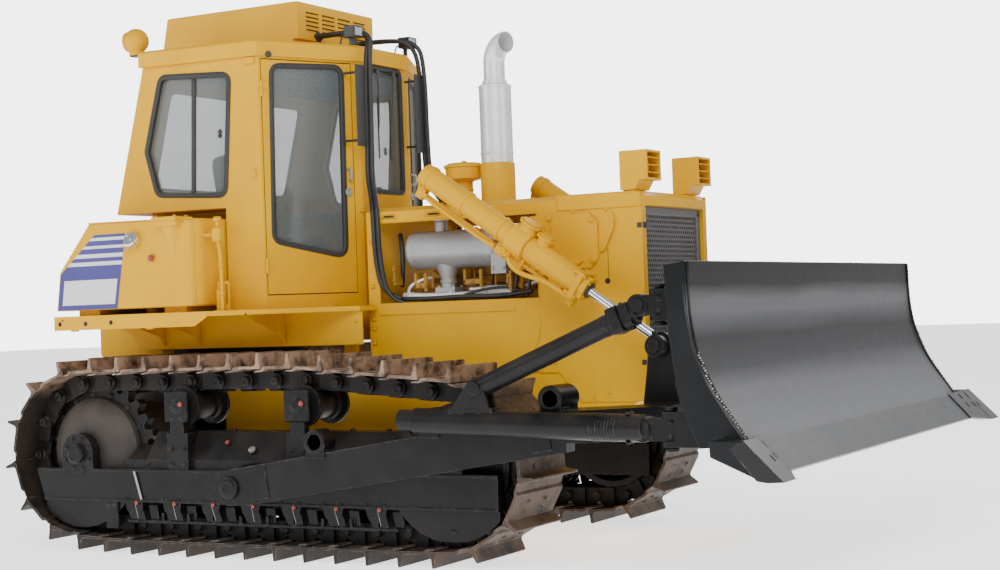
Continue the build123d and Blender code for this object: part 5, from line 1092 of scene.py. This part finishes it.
makeHoodTrim()

# stack: yellow lower shell, clamps; precleaner band and fins
stack = {
    "x": 274, "base": 1955, "clamps": (2250, 2640), "cleanerX": 46,
    "shell": [(0, 114), (12, 114), (16, 110), (18, 102.5), (238, 102.5), (244, 101), (248, 97)],
}


def makeStackTrim():
    x, base = stack["x"], stack["base"]
    turned((x, 0, base), zWay, stack["shell"], 40)
    for a, b in ring(8, 108):
        bolt((x + a, b, base + 14), zWay, 7)
    finishPiece("stackShell", "chassis", "yellowPaint")
    for z in stack["clamps"]:
        turned((x, 0, z), zWay, [(0, 96), (2, 98), (16, 98), (18, 96)], 40)
    turned((x, 0, 2664), zWay, [(0, 70), (3, 73), (20, 73), (23, 68)], 32)
    cube((x, -103, 2259), (24, 18, 14))
    finishPiece("stackClamps", "chassis", "stackSilver")
    x = stack["cleanerX"]
    turned((x, 0, 2050), zWay, [(0, 50), (2, 53), (14, 53), (16, 50)], 32)
    for a, b in ring(24, 100, 0):
        cube((x + a, b, 2155), (6, 6, 62), 1)
    turned((x, 0, 2220), zWay, [(0, 16), (8, 16), (12, 11)], 6)
    finishPiece("cleanerFins", "chassis", "yellowPaint")


makeStackTrim()
print("hood")

# engine bay: muffler clamps, steel pipes, black lines, brackets, injector lines
# the pipes and lines are given as (radius, sides, points)
bay = {
    "muffler": (150, -300, 1700), "inlet": 90, "outlet": 50, "covers": (40, 330, 620),
    "ports": (-20, 200, 330, 460, 590, 720),
    "steel": [(19, 16, [(-180, -356, 1440), (60, -362, 1430), (400, -358, 1434), (560, -350, 1450)]),
              (12, 12, [(250, -330, 1464), (420, -332, 1470), (600, -330, 1466), (690, -300, 1500)]),
              (9, 10, [(-150, -356, 1440), (-140, -370, 1490), (-60, -360, 1530), (-20, -300, 1540)])],
    "black": [(12, 12, [(-200, -402, 1424), (0, -414, 1418), (240, -408, 1426), (500, -414, 1418),
                        (690, -400, 1440)]),
              (11, 12, [(560, -396, 1416), (600, -404, 1520), (580, -396, 1640), (610, -380, 1760)]),
              (11, 12, [(650, -396, 1416), (690, -404, 1540), (668, -396, 1660), (700, -370, 1780)]),
              (14, 12, [(-230, -300, 1500), (-180, -360, 1600), (-190, -350, 1740), (-230, -300, 1800)]),
              (9, 10, [(620, -390, 1430), (560, -400, 1470), (380, -404, 1462), (250, -402, 1430)])],
    "left": [(12, 12, [(-180, 400, 1430), (120, 410, 1424), (420, 404, 1436), (680, 396, 1420)]),
             (10, 12, [(60, 330, 1500), (80, 390, 1600), (240, 392, 1620), (420, 340, 1560), (520, 300, 1500)]),
             (14, 12, [(620, 380, 1420), (650, 394, 1560), (630, 380, 1700), (660, 340, 1790)])],
}


def drawLines(lines):
    for radius, count, points in lines:
        pipe(points, radius, count)


def makeEngineBay():
    mx, my, mz = bay["muffler"]
    for x in (mx - 236, mx + 222):
        turned((x, my, mz), xWay, [(0, 110), (2, 111.5), (8, 111.5), (10, 110)], 48)
    for dx in (-48, 48):
        for dy in (-34, 62):
            bolt((bay["inlet"] + dx, my + dy, 1480), zWay, 9)
    turned((bay["inlet"], my, 1505), zWay, [(0, 46), (2, 49), (16, 49), (18, 46)], 28)
    turned((bay["outlet"], my, 1862), zWay, [(0, 36.5), (2, 40), (30, 40), (32, 36.5)], 28)
    block((434, my - 106, 1560), (526, my - 102, 1680))
    for x, z in oblong(480, 1620, 34, 45):
        bolt((x, my - 106, z), -yWay, 7)
    finishPiece("mufflerBands", "chassis", "mufflerGrey")
    # steel pipes along the manifold
    drawLines(bay["steel"])
    for x in (-140, 130, 360, 520):
        turned((x, -360, 1434), xWay, [(0, 22), (2, 25), (24, 25), (26, 22)], 16)
    finishPiece("bayPipes", "chassis", "stackSilver")
    # black lines: along the sill, up in front of the bulkhead, over the rocker covers
    drawLines(bay["black"])
    for x in bay["covers"]:
        pipe([(x - 60, -90, 1600), (x - 50, -150, 1640), (x + 10, -190, 1600), (x + 20, -250, 1490)], 5, 8)
    finishPiece("bayHoses", "chassis", "hoseRubber")
    # bolts of the rocker covers and the rail, brackets, injector lines
    for x in bay["covers"]:
        for dx in (-70, 70):
            turned((x + dx, 20, 1609), zWay, [(0, 16), (4, 16), (6, 10), (16, 10), (18, 7)], 12)
        block((x - 116, -78, 1540), (x + 116, 118, 1552), 4)
    for x in bay["ports"]:
        for dx in (-26, 26):
            bolt((x + dx, -307, 1430), -yWay, 9)
        block((x - 34, -232, 1436), (x + 34, -218, 1506), 4)
    for x, z, wide in ((-60, 1520, 40), (290, 1530, 60), (560, 1500, 50)):
        block((x - wide, -376, z - 40), (x + wide, -310, z - 8), 5)
        block((x - wide, -376, z - 40), (x - wide + 16, -300, z + 50), 4)
        rod((x + wide - 10, -360, z - 60), (x + wide - 10, -360, z + 46), 12)
        bolt((x, -376, z - 24), -yWay, 9)
    for x, z in ((-210, 1560), (560, 1500), (730, 1660)):
        cube((x, -375, z), (16, 90, 120), 4)
        bolt((x, -420, z + 30), -yWay, 8)
        bolt((x, -420, z - 30), -yWay, 8)
    for x in range(-40, 661, 140):
        pipe([(x, -200, 1560), (x + 12, -250, 1590), (x + 30, -320, 1560), (x + 40, -330, 1480)], 4, 8)
    finishPiece("bayBrackets", "chassis", "enginePaint")
    # left side: filters, pump and their lines
    for x in (60, 240):
        turned((x, 320, 1250), zWay, [(0, 40), (14, 56), (200, 56), (212, 52), (220, 30), (232, 30)], 30)
    block((0, 250, 1470), (310, 380, 1510), 8)
    turned((420, 310, 1330), xWay, [(0, 60), (20, 74), (60, 74), (70, 50), (220, 50), (230, 30)], 28)
    finishPiece("filterBodies", "chassis", "lampBlack")
    drawLines(bay["left"])
    finishPiece("bayHosesLeft", "chassis", "hoseRubber")


makeEngineBay()
print("engine bay")

# lift cylinders, drawn on the right in the cylinder's own frame: along is down the barrel, over points up and
# forwards, out is measured away from the machine; caps as (along, radius of their bolts, height)
lift = {
    "yoke": (774, -667, 1700), "along": (0.822621, 0, -0.568591), "over": (0.568591, 0, 0.822621),
    "feed": [(-660, -70, 34), (-640, -104, 34), (-400, -106, 34), (-160, -106, 34), (-120, -88, 34)],
    "bow": [(-10, -92, 60), (28, -118, 62), (70, -130, 62), (140, -122, 58), (228, -92, 52), (300, -82, 50),
            (404, -84, 46), (440, -78, 44)],
    "valve": [(0, 15), (4, 21), (28, 21), (31, 28), (66, 28), (69, 21), (92, 21), (96, 15)],
    "corner": 62, "caps": [(0, 58, 122), (118, 46, 106)], "eye": (1603, -667, 1127),
}


def onLift(along, over, out):
    return Vector(lift["yoke"]) + Vector(lift["along"]) * along + Vector(lift["over"]) * over - yWay * out


def makeLiftTrim():
    down, up = Vector(lift["along"]), Vector(lift["over"])
    for over, out in oblong(0, 0, lift["corner"], lift["corner"]):
        bolt(onLift(444, over, out), down, 12)
        bolt(onLift(480, over * 0.62, out * 0.62), down, 8)
        rod(onLift(380, over, out), onLift(412, over, out), 10, 10)
    # bands round the barrel and the clamps of the feed pipes
    for at in (-690, -420, -150, 90, 300):
        turned(onLift(at, 0, 0), down, [(0, 66), (2, 70.5), (24, 70.5), (26, 66)], 40)
    for at in (-560, -300, 200, 330):
        rod(onLift(at, -96, -20), onLift(at + 34, -96, -20), 17, 14)
    for at, over in ((-718, 0), (-700, -52)):
        turned(onLift(at, over, 0), -down, [(0, 40), (12, 40), (15, 34)], 6)
    # second feed pipe with its unions
    pipe([onLift(*spot) for spot in lift["feed"]], 10, 12)
    for at, over in ((-650, -92), (-140, -98)):
        turned(onLift(at, over, 34), down, [(0, 13), (2, 16), (24, 16), (26, 13)], 6)
    # valve below the barrel, and the bowed pipe from it to the gland
    pipe([onLift(*spot) for spot in lift["bow"]], 13, 12)
    turned(onLift(-92, -88, 58), down, lift["valve"], 8)
    for at in (-44, -14):
        turned(onLift(at, -88, 78), -yWay, [(0, 12), (10, 12), (13, 9)], 6)
    # bolts on the caps that stand square to the barrel
    for at, radius, height in lift["caps"]:
        for a, b in ring(4, radius):
            bolt(onLift(at + a, height, b), up, 8)
    finishPair("barrelFittings", "barrel_", "yellowPaint")
    turned(onLift(479, 0, 0), down, [(0, 44), (10, 44), (14, 38), (14, 27)], 32)
    finishPair("rodWiper", "barrel_", "lampBlack")
    # shoulders of the rod's eye and its grease nipple
    x, y, z = lift["eye"]
    for way in (-1, 1):
        turned((x, y + way * 35, z), way * yWay, [(0, 58), (4, 58), (6, 52), (6, 34)], 32)
    turned((x, y, z + 62), zWay, [(0, 10), (10, 10), (12, 6), (20, 5)], 10)
    finishPair("rodEye", "rod_", "frameBlack")


makeLiftTrim()

# yoke plates on the nose: bolts about the plate's middle, ribs about the yoke
support = {
    "middle": (904, 1700), "bolts": [(-200, 110), (-200, -110), (200, 110), (200, -110), (-60, 130), (90, -130)],
    "yoke": (774, 1700), "ribs": (40, 140, 220, 320),
}


def makeSupportTrim():
    x, z = support["middle"]
    wallBolts(466, 13, [(x + dx, z + dz) for dx, dz in support["bolts"]])
    x, z = support["yoke"]
    for a in map(math.radians, support["ribs"]):
        cube((x + 100 * math.cos(a), 493, z + 100 * math.sin(a)), (10, 54, 52), 4)
    bothSides()
    finishPiece("supportBolts", "chassis", "yellowPaint")


makeSupportTrim()
print("lift cylinders")

# push frame and struts: weld beads, ring seats, pin keepers, clamp bolts
push = {
    "arm": 1311, "foot": (-639, 531), "slope": 0.15552, "rings": [(-176, 669), (544, 781), (1254, 891)],
    "strut": 1392, "blocks": [(1874, 750, 73.5, 35), (1852, 1340, 55.5, 28)],
    # ends, radius of the clamp and of the sleeve
    "struts": [((424, 792), (1800, 752), 66, 69), ((892, 953), (1778, 1313), 59, 54)],
    "pinHead": [(-12, 58), (26, 58), (31, 53), (31, 34), (46, 34), (50, 29), (50, 3)],
}


def makePushTrim():
    slope, arm, strut, (footX, footZ) = push["slope"], push["arm"], push["strut"], push["foot"]
    for name, side in sides:
        out = (0, side, 0)
        for x, z in push["rings"]:
            for y in (1217 if x < 1200 else 1130, 1321):
                turned((x, side * y, z), out, [(-3, 64), (3, 66), (5, 62), (5, 44), (-3, 42)], 36)
            for dx, dz in ((-60, -66), (60, -48)):
                rod((x + dx, side * 1225, z + dz), (x + dx, side * 1305, z + dz), 7, 8)
        # bead along the arm's top edge, stiffening plates on its outer face
        start, end = ((x, side * (arm - 3), footZ + (x - footX) * slope - 2) for x in (-742, 1326))
        rod(start, end, 5, 8)
        for x in (-560, 1180):
            plate(oblong(0, 0, 60, 84), (x, side * arm, footZ + (x - footX) * slope - 105), (1, 0, slope),
                  (-slope, 0, 1), -side * 6, 3)
        # head of the lift cylinder's pin outside its ear, the upper strut's foot with its pin keeper
        turned((1603, side * 786, 1127), out, push["pinHead"], 32)
        cube((1603, side * 817, 1192), (26, 10, 28))
        turned((892, side * (strut + 42), 953), out, [(0, 36), (8, 36), (10, 30), (10, 4)], 28)
        cube((892, side * (strut + 46), 1001), (24, 12, 22))
        finishPiece("pushWelds" + name, "blade_assembly", "frameBlack")
    for x, z, wide, tall in push["blocks"]:
        wallBolts(strut + 34, 9, oblong(x, z, wide, tall))
    # split clamps: bolts above and below the thread, ribbed sleeve behind them
    for (x1, z1), (x2, z2), reach, radius in push["struts"]:
        start, end = Vector((x1, strut, z1)), Vector((x2, strut, z2))
        along = (end - start).normalized()
        up = Vector((-along.z, 0, along.x))
        for way in (-1, 1):
            for dy in (-24, 24):
                bolt(start.lerp(end, 0.94) + up * way * reach + yWay * dy, up * way, 10)
        for k in range(9):
            turned(start.lerp(end, 0.80 + k * 0.012), along,
                   [(0, radius - 3), (2, radius), (7, radius), (9, radius - 3)], 30)
    finishPair("strutBolts", "blade_assembly", "frameBlack")


makePushTrim()
print("push frame")

# blade: weld beads, bare spatter, end bits with their heels and slots, plough bolts
blade = {
    "half": 1760, "face": [(2187, 1530), (2190, 1344), (2212, 1165), (2284, 972), (2402, 795), (2454, 722)],
    "edge": ((2454, 0, 722), (2580, 0, 583)),
    "bit": [(2497, 742), (2450, 720), (2576, 581), (2600, 560), (2676, 564)],
    "bitTip": [(2461, 729), (2450, 720), (2576, 581), (2584, 578), (2589, 588)], "bitY": (1771, 1590),
    "heel": [(2336, 738), (2340, 668), (2560, 572), (2600, 562), (2560, 640), (2500, 738)],
    "slots": [(1758, 0.17), (1683, 0.17), (1795, 0.48), (1733, 0.48), (1671, 0.48)],  # y, share of the way down
}


# section of the left end bit, and a place on its sloping front
def bitRing(y):
    outer, inner = blade["bitY"]
    share = max(0, (outer - y) / (outer - inner))
    return [Vector((x, y, z)).lerp(Vector((tipX, y, tipZ)), share)
            for (x, z), (tipX, tipZ) in zip(blade["bit"], blade["bitTip"])]


def bitAt(y, down):
    section = bitRing(y)
    return section[0].lerp(section[-1], down)


def makeBladeTrim():
    half = blade["half"]
    for dx, y, radius in ((3, half - 24, 8), (-12, half, 4)):
        pipe([(x + dx, y, z) for x, z in blade["face"]], radius, 8)
    bothSides()
    rod((2180, -half, 1530), (2180, half, 1530), 5, 8)
    finishPiece("bladeWelds", "blade_assembly", "bladeBlack")
    # bare spatter along the lower half of the end plates' beads
    for side in (-1, 1):
        for k in range(34):
            z = 1120 - k * 11.5
            size = 3.2 + 2.2 * ((k * 7) % 5) / 4
            turned((edgeAt(blade["face"], z) + 6, side * (half - 15 + 5 * ((k * 3) % 4)), z), (0.8, 0, 0.6),
                   [(-size, size * 0.4), (0, size * 1.3), (size, size * 0.5)], 7)
    finishPiece("weldSpatter", "blade_assembly", "paleMetal")
    # inner halves of the end bits, which taper towards the cutting edge, and the heel plates behind them
    outer, inner = blade["bitY"]
    loft([bitRing(outer + (inner - outer) * k / 8) for k in range(9)])
    bothSides()
    finishPiece("bitFaces", "blade_assembly", "edgeSteel")
    for side in (-1, 1):
        plate(blade["heel"], (0, side * 1916, 0), xWay, zWay, side * 12, 2)
        cube((2418, side * 1842, 732), (164, 144, 12), 2)
    finishPiece("bitHeels", "blade_assembly", "bladeBlack")
    # plough bolts in pairs along the cutting edge
    top, low = (Vector(corner) for corner in blade["edge"])
    along = (low - top).normalized()
    for k in range(12):
        for dy in (-34, 34):
            turned(top + along * 70 + yWay * (-1600 + k * 290 + dy), (-along.z, 0, along.x),
                   [(-1, 12), (0.8, 12), (1.2, 9), (0.4, 6), (0.4, 2)], 14)
    finishPiece("edgeBolts", "blade_assembly", "edgeSteel")
    # slots of the end bits: thin dark plates on the face, painted shade of the slots
    for y, down in blade["slots"]:
        spot, along = bitAt(y, down), bitAt(y + 9, down) - bitAt(y - 9, down)
        plate(rounded(oblong(0, 0, 6, 20), 5), spot, along, bitAt(y, down + 0.1) - spot, -1.5)
    bothSides()
    finishPiece("edgeSlots", "blade_assembly", "radiatorBlackAndShade")


makeBladeTrim()
print("blade")

# rear: filler cap, bolts and pipe stubs
rear = {"tankCap": (-2070, 400, 1900), "bolts": [(-2330, 530, z) for z in (1180, 1440, 1700)]}


def makeRearTrim():
    x, y, z = rear["tankCap"]
    turned((x, y, z + 40), zWay, [(-6, 62), (6, 66), (26, 66), (32, 58), (34, 10)], 30)
    for a, b in ring(3, 40, 0):
        cube((x + a, y + b, z + 73), (18, 18, 14), 4)
    finishPiece("fuelCap", "chassis", "rodChrome")
    for spot in rear["bolts"]:
        bolt(spot, -xWay, 12)
    pipe([(-1840, 985, 1460), (-1860, 985, 1460), (-1900, 985, 1460)], 6, 8)
    bothSides()
    finishPiece("rearBolts", "chassis", "yellowPaint")


makeRearTrim()
print("rear")
